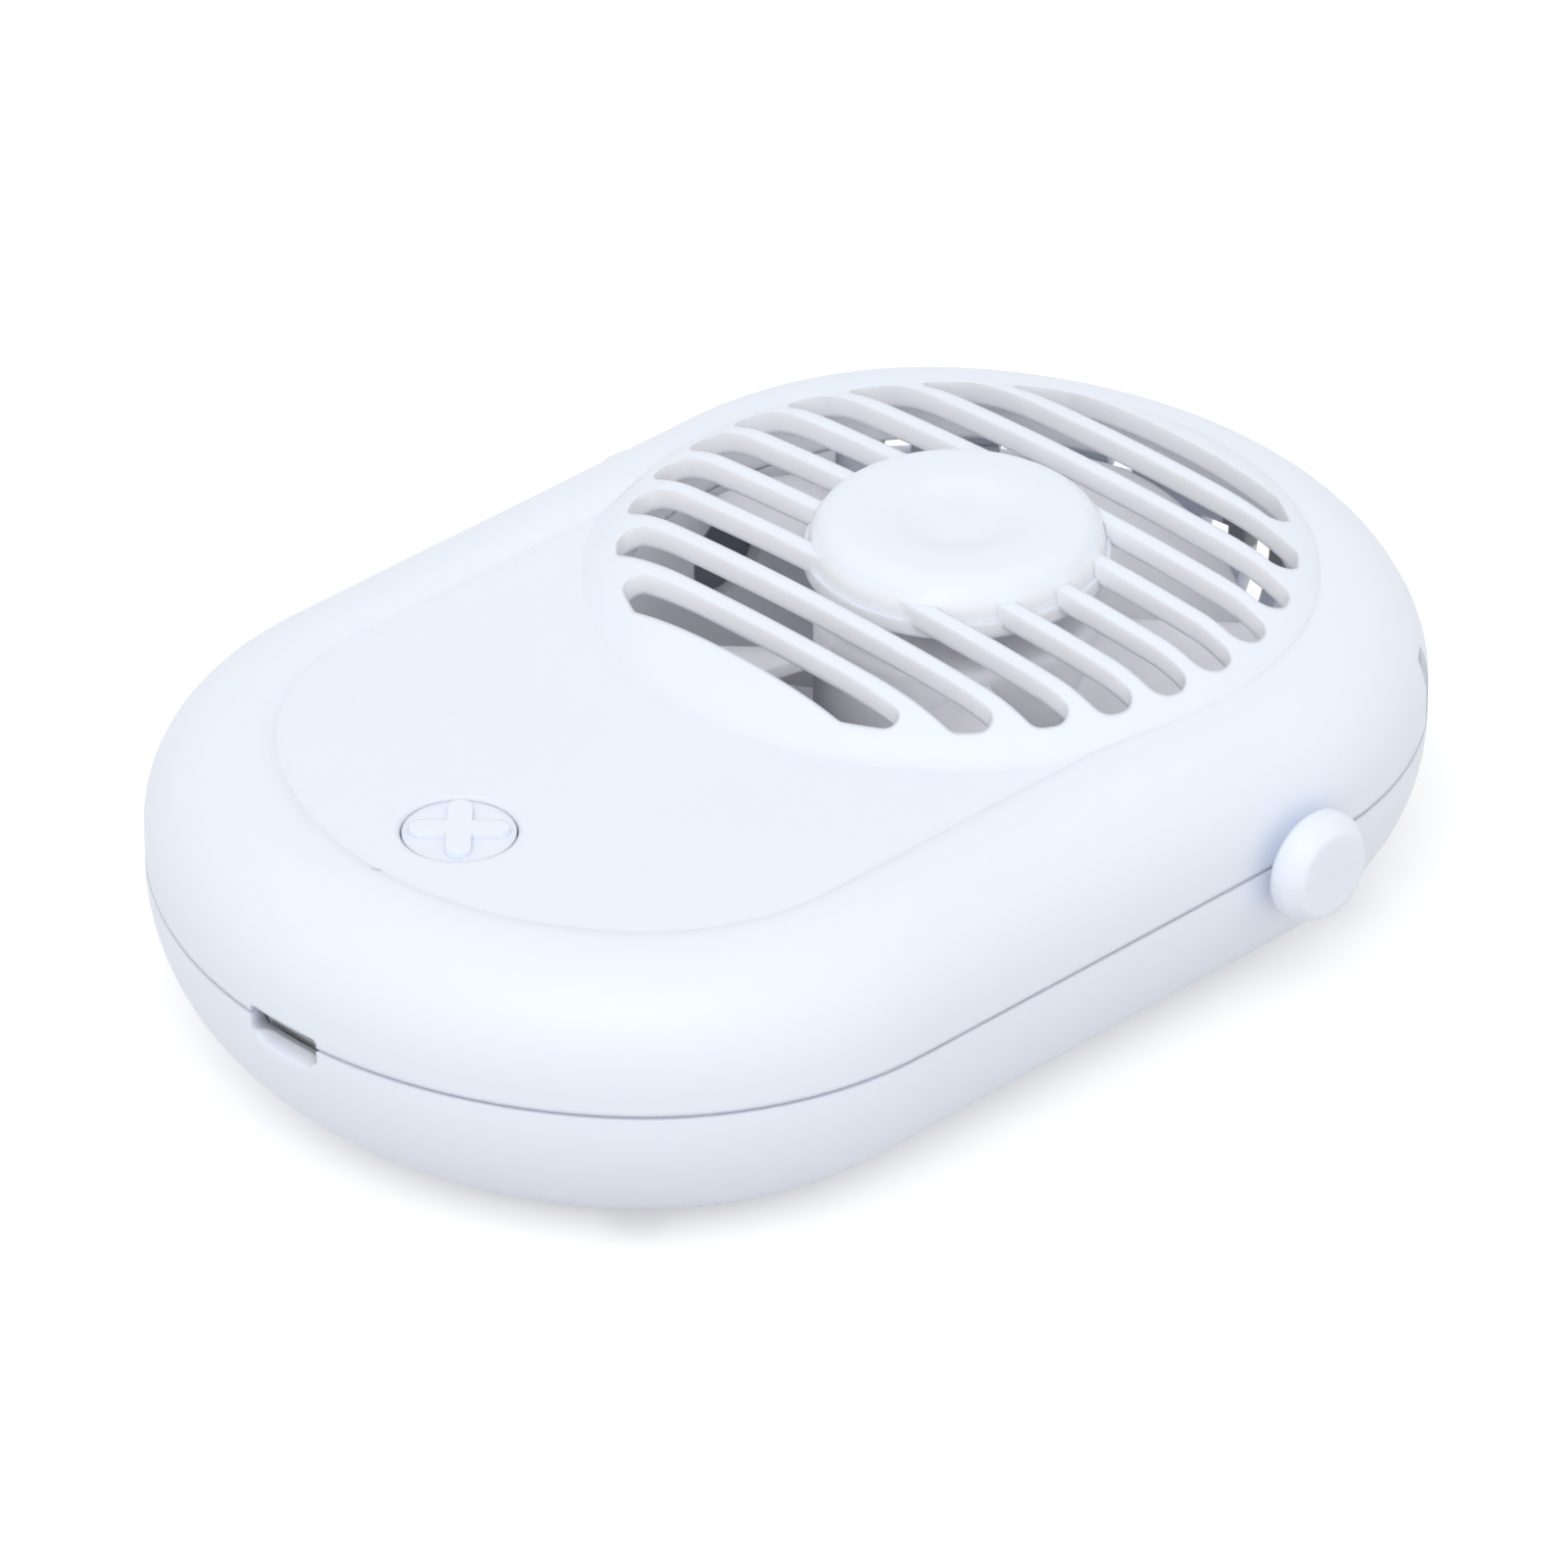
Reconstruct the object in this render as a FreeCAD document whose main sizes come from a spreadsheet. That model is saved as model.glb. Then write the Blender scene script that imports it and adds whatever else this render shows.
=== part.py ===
# Hanging neck fan: two moulded shells, a domed slat grille, a broad-bladed impeller on a small
# brushless motor, a cylindrical cell, a charging board and a push button.
# Millimetres, +Z up out of the grille, +X to the fan end, origin on the rear face under the body's centre.
import FreeCAD, Part
import math
import os
import re
import Sketcher

SIZES = {
    # Body outline: straight sides, corner arcs and flatter end arcs
    "body_length": 119.0,
    "body_width": 80.0,
    "corner_offset": 7.0,
    "end_flatten": 11.0,
    # Shell section
    "wall": 1.8,
    "rear_depth": 16.0,
    "rear_land": 0.5,
    "rim_height": 11.9,
    "rim_round": 9.0,
    "crest_radius": 4.0,
    "panel_drop": 0.7,
    "shadow_gap": 0.35,
    "lip_height": 1.2,
    "lip_inset": 0.9,
    "lip_fit": 0.1,
    # Domed grille
    "dome_end": 7.5,
    "dome_radius": 32.0,
    "dome_curve": 320.0,
    "shoulder_round": 13.0,
    "shoulder_inset": 8.0,
    "foot_round": 2.0,
    "foot_sink": 0.05,
    "duct_ledge": 2.4,
    "duct_collar": 2.0,
    "duct_gap": 0.2,
    "duct_thick": 1.4,
    "duct_open_angle": 66.0,
    "grille_depth": 1.85,
    "slot_pitch": 5.46,
    "slot_width": 3.87,
    "slot_end_gap": 0.3,
    "slot_round_share": 0.46,
    # Centre boss of the grille
    "boss_radius": 12.8,
    "boss_rise": 1.74,
    "boss_round": 3.0,
    "boss_skirt": 4.8,
    "boss_flange_radius": 13.3,
    "boss_flange_thick": 1.4,
    "dimple_floor_radius": 3.0,
    "dimple_radius": 7.4,
    "dimple_depth": 0.9,
    # Air slits at the fan end: upright slits in the front shell, closer vents in the rear shell
    "slit_count": 8,
    "slit_pitch": 15.0,
    "slit_width": 2.4,
    "slit_height": 6.5,
    "vent_count": 15,
    "vent_pitch": 7.5,
    "vent_width": 3.0,
    "vent_band": 1.2,
    "vent_low": 3.5,
    "vent_inset": 1.6,
    # Screws and their columns
    "column_radius": 3.1,
    "screw_radius": 1.3,
    "screw_fit": 0.05,
    "screw_head_radius": 2.3,
    "screw_head_thick": 1.8,
    "screw_recess_radius": 2.55,
    "screw_seat": 6.0,
    "screw_length": 16.5,
    "screw_gap": 0.2,
    "screw_angle": 62.0,
    "screw_back_inset": 14.0,
    "screw_back_y": 23.5,
    # Lanyard posts
    "post_shift": 1.0,
    "post_neck_radius": 2.5,
    "post_neck_length": 1.5,
    "post_head_radius": 5.0,
    "post_face_radius": 3.9,
    "post_edge": 1.2,
    "post_cone": 1.6,
    "post_soft": 0.6,
    "post_flange_radius": 4.0,
    "post_flange_thick": 1.5,
    "post_fit": 0.05,
    # Button, its hole and its guide collar
    "button_inset": 16.0,
    "button_radius": 4.85,
    "button_gap": 0.15,
    "button_chamfer": 0.3,
    "button_sunk": 0.3,
    "button_flange_radius": 6.0,
    "button_flange_thick": 0.9,
    "button_flange_gap": 0.1,
    "button_stem_radius": 1.6,
    "cross_width": 2.2,
    "cross_rise": 0.5,
    "cross_radius": 4.3,
    "collar_gap": 0.4,
    "collar_wall": 1.0,
    "collar_depth": 2.4,
    # Push switch under the button
    "switch_side": 6.0,
    "switch_height": 3.5,
    "switch_well": 1.5,
    "plunger_radius": 1.75,
    "plunger_top": 5.0,
    "plunger_fit": 0.1,
    "plunger_lift": 0.6,
    # Charging board
    "board_end_gap": 2.7,
    "board_length": 23.0,
    "board_width": 26.0,
    "board_thick": 1.2,
    "board_post_radius": 1.8,
    "board_post_edge": 3.0,
    "chip_length": 5.0,
    "chip_width": 4.0,
    "chip_height": 1.5,
    "chip_edge": 1.2,
    "coil_radius": 3.0,
    "coil_height": 3.0,
    # Status light and its tunnel
    "light_inset": 6.5,
    "light_radius": 1.5,
    "light_height": 2.8,
    "pinhole_radius": 0.4,
    "tunnel_radius": 1.8,
    "tunnel_wall": 0.8,
    "tunnel_lift": 1.8,
    # Charging socket and the shells' port
    "socket_width": 7.5,
    "socket_height": 2.5,
    "socket_depth": 5.6,
    "socket_sheet": 0.3,
    "socket_round": 0.7,
    "socket_setback": 0.4,
    "tongue_width": 4.4,
    "tongue_thick": 0.7,
    "tongue_setback": 1.0,
    "port_width": 8.0,
    "port_rise": 1.05,
    "port_fall": 1.4,
    "port_round": 0.45,
    "scoop_radius": 4.0,
    "scoop_width": 7.4,
    "scoop_out": 2.0,
    "scoop_up": 1.0,
    "scoop_round": 1.4,
    # Cell, its saddles, pads, tabs and leads
    "cell_radius": 9.2,
    "cell_length": 65.0,
    "cell_board_gap": 1.2,
    "cell_height": 14.2,
    "saddle_offset": 20.0,
    "saddle_thick": 3.0,
    "saddle_width": 15.0,
    "saddle_rise": 10.0,
    "pad_length": 12.0,
    "pad_width": 8.0,
    "pad_offset": 14.0,
    "pad_depth": 3.0,
    "tab_length": 8.0,
    "tab_width": 5.0,
    "tab_thick": 0.2,
    "lead_radius": 0.6,
    "lead_bend": 4.0,
    "lead_inset": 2.0,
    "lead_overlap": 0.8,
    # Motor stack on the rear shell's pedestal
    "pedestal_radius": 8.0,
    "pedestal_height": 5.0,
    "tube_radius": 3.5,
    "tube_bore": 2.5,
    "tube_height": 14.2,
    "bush_height": 12.0,
    "shaft_radius": 1.0,
    "shaft_fit": 0.03,
    "shaft_length": 20.5,
    "thrust_thick": 0.6,
    "thrust_gap": 0.05,
    "clip_thick": 0.4,
    "clip_radius": 2.2,
    "clip_lift": 0.6,
    "motor_board_radius": 10.4,
    "motor_board_thick": 1.0,
    "stator_lift": 3.2,
    "stator_height": 4.6,
    "stator_hub_radius": 5.2,
    "stator_face_radius": 9.2,
    "stator_face_depth": 1.2,
    "stator_arm_width": 3.0,
    "stator_slot": 1.6,
    "stator_poles": 4,
    "winding_thick": 1.1,
    # Rotor and impeller
    "air_gap": 0.4,
    "magnet_thick": 1.2,
    "magnet_height": 6.6,
    "yoke_thick": 0.6,
    "hub_wall": 1.0,
    "hub_base": 9.5,
    "hub_height": 15.0,
    "hub_round": 1.0,
    "hub_boss_radius": 2.6,
    "blade_count": 5,
    "blade_tip_gap": 1.4,
    "blade_level": 18.6,
    "blade_thick": 1.2,
    "blade_root_half": 4.3,
    "blade_root_rise": 4.2,
    "blade_root_curve": 14.0,
    "blade_tip_half": 12.6,
    "blade_tip_rise": 4.4,
    "blade_tip_curve": 32.0,
    # Motor leads along the rear floor
    "motor_lead_y": 5.0,
    "motor_lead_gap": 1.8,
    "motor_lead_start": 7.4,
    "motor_lead_inset": 4.5,
    # One overrun for all cuts
    "overrun": 2.0,
}

# Document and sheet
doc = FreeCAD.newDocument("neck_fan")
sheet = doc.addObject("Spreadsheet::Sheet", "Sizes")
for row, (alias, number) in enumerate(SIZES.items(), start=1):
    sheet.set(f"A{row}", alias)
    sheet.set(f"B{row}", str(number))
    sheet.setAlias(f"B{row}", alias)
doc.recompute()
SUB_PARTS = []


def bound(text):
    """Turn size names in an expression into references to the sheet's cells."""
    def cell(word):
        return f"Sizes.{word.group()}" if word.group() in SIZES else word.group()

    return re.sub(r"[a-z_]+", cell, text)


def size(text):
    """Value of an expression of size names."""
    return float(sheet.evalExpression(bound(text)))


def sub_part(item, label):
    """Register a finished object as a sub-part under its own label."""
    item.Label = label
    SUB_PARTS.append(item)
    return item


def move(item, at):
    """Bind an object's place to three expressions."""
    for axis, text in zip("xyz", at):
        item.setExpression(f"Placement.Base.{axis}", bound(text))
    return item


def solid(kind, name, at, turn=None, **sizes):
    """Part primitive with bound sizes, turned by (axis, degrees) and moved to a place."""
    item = doc.addObject(f"Part::{kind}", name)
    for key, text in sizes.items():
        item.setExpression(key, bound(text))
    if turn:
        item.Placement.Rotation = FreeCAD.Rotation(FreeCAD.Vector(*turn[0]), turn[1])
    return move(item, at)


def upright(name, radius, x, y, low, high):
    """Upright cylinder between two heights."""
    return solid("Cylinder", name, (x, y, low), Radius=radius, Height=f"{high} - ({low})")


def block(name, x, y, z):
    """Box between three pairs of limits."""
    spans = [f"{pair[1]} - ({pair[0]})" for pair in (x, y, z)]
    return solid("Box", name, (x[0], y[0], z[0]), Length=spans[0], Width=spans[1], Height=spans[2])


def cut(name, base, *tools):
    """Base less one or more tools."""
    item = doc.addObject("Part::Cut", name)
    item.Base = base
    item.Tool = tools[0] if len(tools) == 1 else fuse(f"{name}_tools", *tools)
    return item


def fuse(name, *items):
    """Union of objects."""
    item = doc.addObject("Part::MultiFuse", name)
    item.Shapes = list(items)
    return item


def common(name, *items):
    """Overlap of objects."""
    item = doc.addObject("Part::MultiCommon", name)
    item.Shapes = list(items)
    return item


def group(name, *items):
    """Separate solids kept in one object."""
    item = doc.addObject("Part::Compound", name)
    item.Links = list(items)
    return item


def rounded(name, base, radius, chosen):
    """Fillet on the edges of an object that a test picks, with one radius or a radius for each edge."""
    doc.recompute()
    item = doc.addObject("Part::Fillet", name)
    item.Base = base
    edges = []
    for i, edge in enumerate(base.Shape.Edges, start=1):
        if chosen(edge):
            value = radius(edge) if callable(radius) else size(radius)
            edges.append((i, value, value))
    item.Edges = edges
    return item


def new_body(name, at=("0", "0", "0")):
    """PartDesign body at a place."""
    return move(doc.addObject("PartDesign::Body", name), at)


def origin_part(body, role):
    """Origin plane or axis of a body."""
    return next(feature for feature in body.Origin.OriginFeatures if feature.Role == role)


def new_sketch(body, name, role, offset):
    """Empty sketch on one of the body's origin planes, moved along the plane's normal."""
    sketch = body.newObject("Sketcher::SketchObject", name)
    sketch.AttachmentSupport = [(origin_part(body, role), "")]
    sketch.MapMode = "FlatFace"
    sketch.setExpression("AttachmentOffset.Base.z", bound(offset))
    return sketch


def draw(sketch, corners, arcs=None, closed=True):
    """Line through corners with spans turned to arcs: a positive radius bulges to the right of the way."""
    arcs = arcs or {}
    first = sketch.GeometryCount
    points = [FreeCAD.Vector(size(x), size(y), 0) for x, y in corners]
    spans = len(points) if closed else len(points) - 1
    for i in range(spans):
        start = points[i]
        end = points[(i + 1) % len(points)]
        curve = Part.LineSegment(start, end)
        if i in arcs:
            radius = size(arcs[i])
            chord = end - start
            side = FreeCAD.Vector(chord.y, -chord.x, 0).normalize()
            rise = abs(radius) - math.sqrt(max(radius ** 2 - chord.Length ** 2 / 4, 0))
            middle = (start + end) / 2 + side * math.copysign(rise, radius)
            curve = Part.Arc(start, middle, end) if radius > 0 else Part.Arc(end, middle, start)
        sketch.addGeometry(curve, False)

    def spot(i, point):
        curve = sketch.Geometry[first + i]
        return 1 if (curve.StartPoint - point).Length < (curve.EndPoint - point).Length else 2

    def drive(constraint, text):
        index = sketch.addConstraint(constraint)
        sketch.setExpression(f"Constraints[{index}]", bound(text))

    for i, (corner, point) in enumerate(zip(corners, points)):
        span = min(i, spans - 1)
        place = spot(span, point)
        drive(Sketcher.Constraint("DistanceX", -1, 1, first + span, place, point.x), corner[0])
        drive(Sketcher.Constraint("DistanceY", -1, 1, first + span, place, point.y), corner[1])
        if closed or 0 < i < spans:
            before = (i - 1) % spans
            sketch.addConstraint(
                Sketcher.Constraint("Coincident", first + before, spot(before, point), first + span, place))
    for i, text in arcs.items():
        drive(Sketcher.Constraint("Radius", first + i, abs(size(text))), f"abs({text})")
    return sketch


def profile(body, name, role, offset, corners, arcs=None, closed=True):
    """Sketch with one line of corners and arcs."""
    return draw(new_sketch(body, name, role, offset), corners, arcs, closed)


def disc(body, name, role, offset, x, y, radius):
    """Sketch with one circle."""
    sketch = new_sketch(body, name, role, offset)
    centre = FreeCAD.Vector(size(x), size(y), 0)
    sketch.addGeometry(Part.Circle(centre, FreeCAD.Vector(0, 0, 1), size(radius)), False)
    for kind, text, number in (("DistanceX", x, centre.x), ("DistanceY", y, centre.y)):
        index = sketch.addConstraint(Sketcher.Constraint(kind, -1, 1, 0, 3, number))
        sketch.setExpression(f"Constraints[{index}]", bound(text))
    index = sketch.addConstraint(Sketcher.Constraint("Radius", 0, size(radius)))
    sketch.setExpression(f"Constraints[{index}]", bound(radius))
    return sketch


def pad(body, name, sketch, length):
    """Straight pad of a sketch."""
    item = body.newObject("PartDesign::Pad", name)
    item.Profile = sketch
    item.setExpression("Length", bound(length))
    return item


def turned(name, at, corners, arcs=None, gap_angle=None):
    """Body of revolution about an upright axis, with an optional open sector each side of +X."""
    body = new_body(name, at)
    item = body.newObject("PartDesign::Revolution", f"{name}_turn")
    item.Profile = profile(body, f"{name}_section", "XZ_Plane", "0", corners, arcs)
    item.ReferenceAxis = (origin_part(body, "Z_Axis"), [""])
    if gap_angle:
        item.setExpression("Angle", bound(f"360 - 2 * {gap_angle}"))
        body.setExpression("Placement.Rotation.Angle", bound(gap_angle))
    return body


def pipe(name, at, role, route, bends, end_role, end, radius):
    """Round wire along a flat route, its first end a circle on another plane."""
    body = new_body(name, at)
    spine = profile(body, f"{name}_route", role, "0", route, bends, closed=False)
    item = body.newObject("PartDesign::AdditivePipe", f"{name}_wire")
    item.Profile = disc(body, f"{name}_end", end_role, *end, radius)
    item.Spine = (spine, [])
    return body


def ring(name, at, inner, outer, low, high):
    """Plain turned ring."""
    return turned(name, at, [(inner, low), (outer, low), (outer, high), (inner, high)])


def outline(inset):
    """Corners and arcs of the body's outline, moved inward by an inset."""
    corner = "(body_width / 2 - corner_offset)"
    end = f"({corner} + end_flatten)"
    centre = f"(body_length / 2 - {end})"
    reach = "sqrt(end_flatten ^ 2 - corner_offset ^ 2)"
    run = f"({centre} + {reach})"
    side = f"(body_width / 2 - ({inset}))"
    join_x = f"({centre} + {reach} * ({end} - ({inset})) / end_flatten)"
    join_y = f"(corner_offset * ({end} - ({inset})) / end_flatten)"
    corners = [(run, side), (f"-{run}", side), (f"-{join_x}", join_y), (f"-{join_x}", f"-{join_y}"),
               (f"-{run}", f"-{side}"), (run, f"-{side}"), (join_x, f"-{join_y}"), (join_x, join_y)]
    small = f"{corner} - ({inset})"
    large = f"{end} - ({inset})"
    return corners, {1: small, 2: large, 3: small, 5: small, 6: large, 7: small}


def slab(name, inset, low, high):
    """Plate of the body's outline between two heights."""
    body = new_body(name)
    plan = profile(body, f"{name}_outline", "XY_Plane", low, *outline(inset))
    pad(body, f"{name}_pad", plan, f"{high} - ({low})")
    return body


def bowl(name, inset, low, high, radius):
    """Plate of the body's outline with its lower edge rounded."""
    base = slab(f"{name}_slab", inset, low, high)
    return rounded(name, base, radius, lambda edge: edge.BoundBox.ZMax < size(low) + size("wall") / 2)


def fan_cutter(name, count, pitch, width, start, low, high):
    """Radial slots about the fan axis, spread evenly on both sides of +X."""
    reach = f"(body_length / 2 - {FAN_X} + overrun)"
    half = f"{width} / 2"
    body = new_body(name, FAN)
    first = f"-({count} - 1) / 2 * {pitch}"
    body.setExpression("Placement.Rotation.Angle", bound(first))
    plan = profile(body, f"{name}_plan", "XY_Plane", low, [
        (start, f"-{half}"), (reach, f"-{half}"), (reach, half), (start, half)])
    tooth = pad(body, f"{name}_pad", plan, f"{high} - ({low})")
    fan = body.newObject("PartDesign::PolarPattern", f"{name}_fan")
    fan.Originals = [tooth]
    fan.Axis = (origin_part(body, "Z_Axis"), [""])
    fan.setExpression("Angle", bound(f"({count} - 1) * {pitch}"))
    fan.setExpression("Occurrences", bound(count))
    body.Tip = fan
    return body


# Heights and places that several pieces share
PANEL = "(rear_depth + rim_height - panel_drop)"
CEILING = f"({PANEL} - wall)"
ROLL = "sqrt(crest_radius ^ 2 - (crest_radius - panel_drop) ^ 2)"
BOARD_TOP = "(rear_depth - socket_height / 2)"
BOARD_LOW = f"({BOARD_TOP} - board_thick)"
BOARD_NEAR = "(wall + board_end_gap - body_length / 2)"
BOARD_FAR = f"({BOARD_NEAR} + board_length)"
BUTTON_X = f"({BOARD_NEAR} + button_inset)"
LIGHT_X = f"({BOARD_NEAR} + light_inset)"
CELL_X = f"({BOARD_FAR} + cell_board_gap + cell_radius)"
FAN_X = "(body_length / 2 - dome_end - dome_radius)"
FAN = (FAN_X, "0", "0")
POST_X = f"({FAN_X} + post_shift)"
DUCT = "(dome_radius - duct_ledge)"
VENT_START = f"({DUCT} - vent_inset)"
SCREW_RING = f"({DUCT} + duct_thick + screw_gap + column_radius)"
SCREWS = {
    "fan_left": (f"{FAN_X} + {SCREW_RING} * cos(screw_angle)", f"{SCREW_RING} * sin(screw_angle)"),
    "fan_right": (f"{FAN_X} + {SCREW_RING} * cos(screw_angle)", f"-{SCREW_RING} * sin(screw_angle)"),
    "back_left": (f"{BOARD_NEAR} + screw_back_inset", "screw_back_y"),
    "back_right": (f"{BOARD_NEAR} + screw_back_inset", "-screw_back_y"),
}

# Cutters that both shells share: outlet slits, lanyard post holes and the charging port
slits = fan_cutter("slits", "slit_count", "slit_pitch", "slit_width", VENT_START,
                   "rear_depth", "rear_depth + slit_height")
post_bore = solid("Cylinder", "post_bore", (POST_X, "body_width / 2 + overrun", "rear_depth"),
                  turn=((1, 0, 0), 90), Radius="post_neck_radius + post_fit",
                  Height="body_width + 2 * overrun")
post_seat = solid("Cylinder", "post_seat", (POST_X, "body_width / 2 - wall", "rear_depth"),
                  turn=((1, 0, 0), 90), Radius="post_flange_radius + post_fit",
                  Height="body_width - 2 * wall")
port_block = block("port_block", ("-body_length / 2 - overrun", "-body_length / 2 + wall + overrun"),
                   ("-port_width / 2", "port_width / 2"),
                   ("rear_depth - port_fall", "rear_depth + port_rise"))
port = rounded("port", port_block, "port_round",
               lambda edge: edge.BoundBox.YLength == 0 and edge.BoundBox.ZLength == 0)
button_hole = "button_radius + button_gap"


def make_front_shell():
    """Front moulding: swept rim, flat panel, domed slat grille with its boss, columns and collars."""
    tip = "body_length / 2"
    low = "rear_depth + shadow_gap"
    step = "rear_depth + lip_height + lip_fit"
    shoulder = "rear_depth + rim_height - rim_round"
    crest = "rear_depth + rim_height"
    crease = f"{tip} - rim_round - {ROLL}"
    rim = new_body("rim")
    section = profile(rim, "rim_section", "XZ_Plane", "0", [
        (tip, low), (tip, shoulder), (f"{tip} - rim_round", crest), (crease, PANEL), (crease, CEILING),
        (f"{tip} - rim_round", f"{crest} - wall"), (f"{tip} - wall", shoulder), (f"{tip} - wall", step),
        (f"{tip} - lip_inset", step), (f"{tip} - lip_inset", low),
    ], {1: "rim_round", 2: "crest_radius", 5: "-(rim_round - wall)"})
    sweep = rim.newObject("PartDesign::AdditivePipe", "rim_sweep")
    sweep.Profile = section
    sweep.Spine = (profile(rim, "rim_path", "XY_Plane", low, *outline("0")), [])
    panel = slab("panel", f"rim_round + {ROLL} / 2", CEILING, PANEL)

    # Section of the dome: a shallow cap, a round shoulder tangent to it and a soft foot on the panel
    start = "(dome_radius - shoulder_inset)"
    lean = f"sqrt(1 - ({start} / dome_curve) ^ 2)"
    middle = f"((dome_curve - shoulder_round) * {start} / dome_curve)"
    fall = f"sqrt(shoulder_round ^ 2 - (dome_radius - {middle}) ^ 2)"
    level = f"({PANEL} - {fall})"
    apex = f"({level} + dome_curve - (dome_curve - shoulder_round) * {lean})"
    lift = f"({fall} + foot_round - foot_sink)"
    run = f"sqrt((shoulder_round + foot_round) ^ 2 - {lift} ^ 2)"
    foot_share = "(shoulder_round / (shoulder_round + foot_round))"
    foot = f"({middle} + {run})"
    inside = "(shoulder_round - grille_depth)"
    hem = f"{DUCT} + duct_thick"
    dome = turned("dome", FAN, [
        ("0", apex), ("0", f"{apex} - grille_depth"),
        (f"{middle} + {inside} * {start} / dome_curve", f"{level} + {inside} * {lean}"),
        (DUCT, f"{level} + sqrt({inside} ^ 2 - ({DUCT} - {middle}) ^ 2)"),
        (DUCT, f"{CEILING} - duct_collar"), (hem, f"{CEILING} - duct_collar"), (hem, f"{CEILING} + wall / 2"),
        (foot, f"{CEILING} + wall / 2"), (foot, f"{PANEL} - foot_sink"),
        (f"{middle} + {foot_share} * {run}", f"{level} + {foot_share} * {lift}"),
        (start, f"{level} + shoulder_round * {lean}"),
    ], {1: "-(dome_curve - grille_depth)", 2: f"-{inside}",
        8: "-foot_round", 9: "shoulder_round", 10: "dome_curve"})
    duct = upright("duct", DUCT, FAN_X, "0", "rear_depth", apex)
    plate = cut("plate", fuse("rim_and_panel", rim, panel), duct)

    # Straight slots along Y, cut off by a circle, with corners rounder towards the middle
    circle = f"({DUCT} - slot_end_gap)"
    slots = new_body("slots", FAN)
    slots.AllowCompound = True
    plan = new_sketch(slots, "slot_plan", "XY_Plane", CEILING)
    count = int(size(f"2 * {circle} / slot_pitch"))
    for i in range(count):
        left = f"({2 * i + 1 - count} * slot_pitch / 2 - slot_width / 2)"
        right = f"({2 * i + 1 - count} * slot_pitch / 2 + slot_width / 2)"
        left_end = f"sqrt({circle} ^ 2 - {left} ^ 2)"
        right_end = f"sqrt({circle} ^ 2 - {right} ^ 2)"
        draw(plan, [(left, f"-{left_end}"), (right, f"-{right_end}"), (right, right_end), (left, left_end)],
             {0: circle, 2: circle})
    pad(slots, "slot_pad", plan, f"{apex} - {CEILING} + overrun")
    rate = size(f"slot_width * slot_round_share / {circle}")
    slot_tools = rounded("slot_tools", slots, lambda edge: abs(edge.CenterOfMass.y) * rate,
                         lambda edge: edge.BoundBox.ZLength > size("wall"))
    core = upright("boss_core", "boss_radius - wall", FAN_X, "0", CEILING, f"{apex} + overrun")
    grille = cut("grille", dome, slot_tools, core)

    # Dimpled boss in the middle of the grille, hollow below, with a thin flange under the slats
    top = f"{apex} + boss_rise"
    skirt = f"{top} - boss_skirt"
    half_dish = "((dimple_radius - dimple_floor_radius) / 2)"
    dish = f"({half_dish} ^ 2 + (dimple_depth / 2) ^ 2) / dimple_depth"
    boss = turned("boss", FAN, [
        ("0", f"{top} - dimple_depth"), ("0", f"{top} - dimple_depth - wall"),
        ("boss_radius - wall", f"{top} - dimple_depth - wall"), ("boss_radius - wall", skirt),
        ("boss_flange_radius", skirt), ("boss_flange_radius", f"{skirt} + boss_flange_thick"),
        ("boss_radius", f"{skirt} + boss_flange_thick"), ("boss_radius", f"{top} - boss_round"),
        ("boss_radius - boss_round", top), ("dimple_radius", top),
        (f"dimple_floor_radius + {half_dish}", f"{top} - dimple_depth / 2"),
        ("dimple_floor_radius", f"{top} - dimple_depth"),
    ], {7: "boss_round", 9: dish, 10: f"-({dish})"})

    # Inside: screw columns, the button's collar and the light's tunnel
    columns = [upright(f"front_column_{name}", "column_radius", x, y, "rear_depth", f"{CEILING} + wall / 4")
               for name, (x, y) in SCREWS.items()]
    collar = ring("collar", (BUTTON_X, "0", "0"), "button_flange_radius + collar_gap",
                  "button_flange_radius + collar_gap + collar_wall", f"{CEILING} - collar_depth", CEILING)
    tunnel = ring("tunnel", (LIGHT_X, "0", "0"), "tunnel_radius", "tunnel_radius + tunnel_wall",
                  f"{BOARD_TOP} + tunnel_lift", CEILING)
    moulding = fuse("front_moulding", plate, grille, boss, collar, tunnel, *columns)

    # Holes: button, pinhole, screw pilots and the cutters shared with the rear shell
    below = f"{CEILING} - overrun"
    above = f"{PANEL} + overrun"
    hole = upright("button_hole", button_hole, BUTTON_X, "0", below, above)
    edge = solid("Cone", "button_edge", (BUTTON_X, "0", f"{PANEL} - button_chamfer"), Radius1=button_hole,
                 Radius2=f"{button_hole} + 2 * button_chamfer", Height="2 * button_chamfer")
    pinhole = upright("pinhole", "pinhole_radius", LIGHT_X, "0", below, above)
    pilots = [upright(f"pilot_{name}", "screw_radius + screw_fit", x, y, "rear_depth - overrun",
                      "screw_seat + screw_length + screw_fit") for name, (x, y) in SCREWS.items()]
    shell = cut("front_holes", moulding, hole, edge, pinhole, slits, post_bore, post_seat, port, *pilots)
    sub_part(shell, "front_shell")


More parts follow.
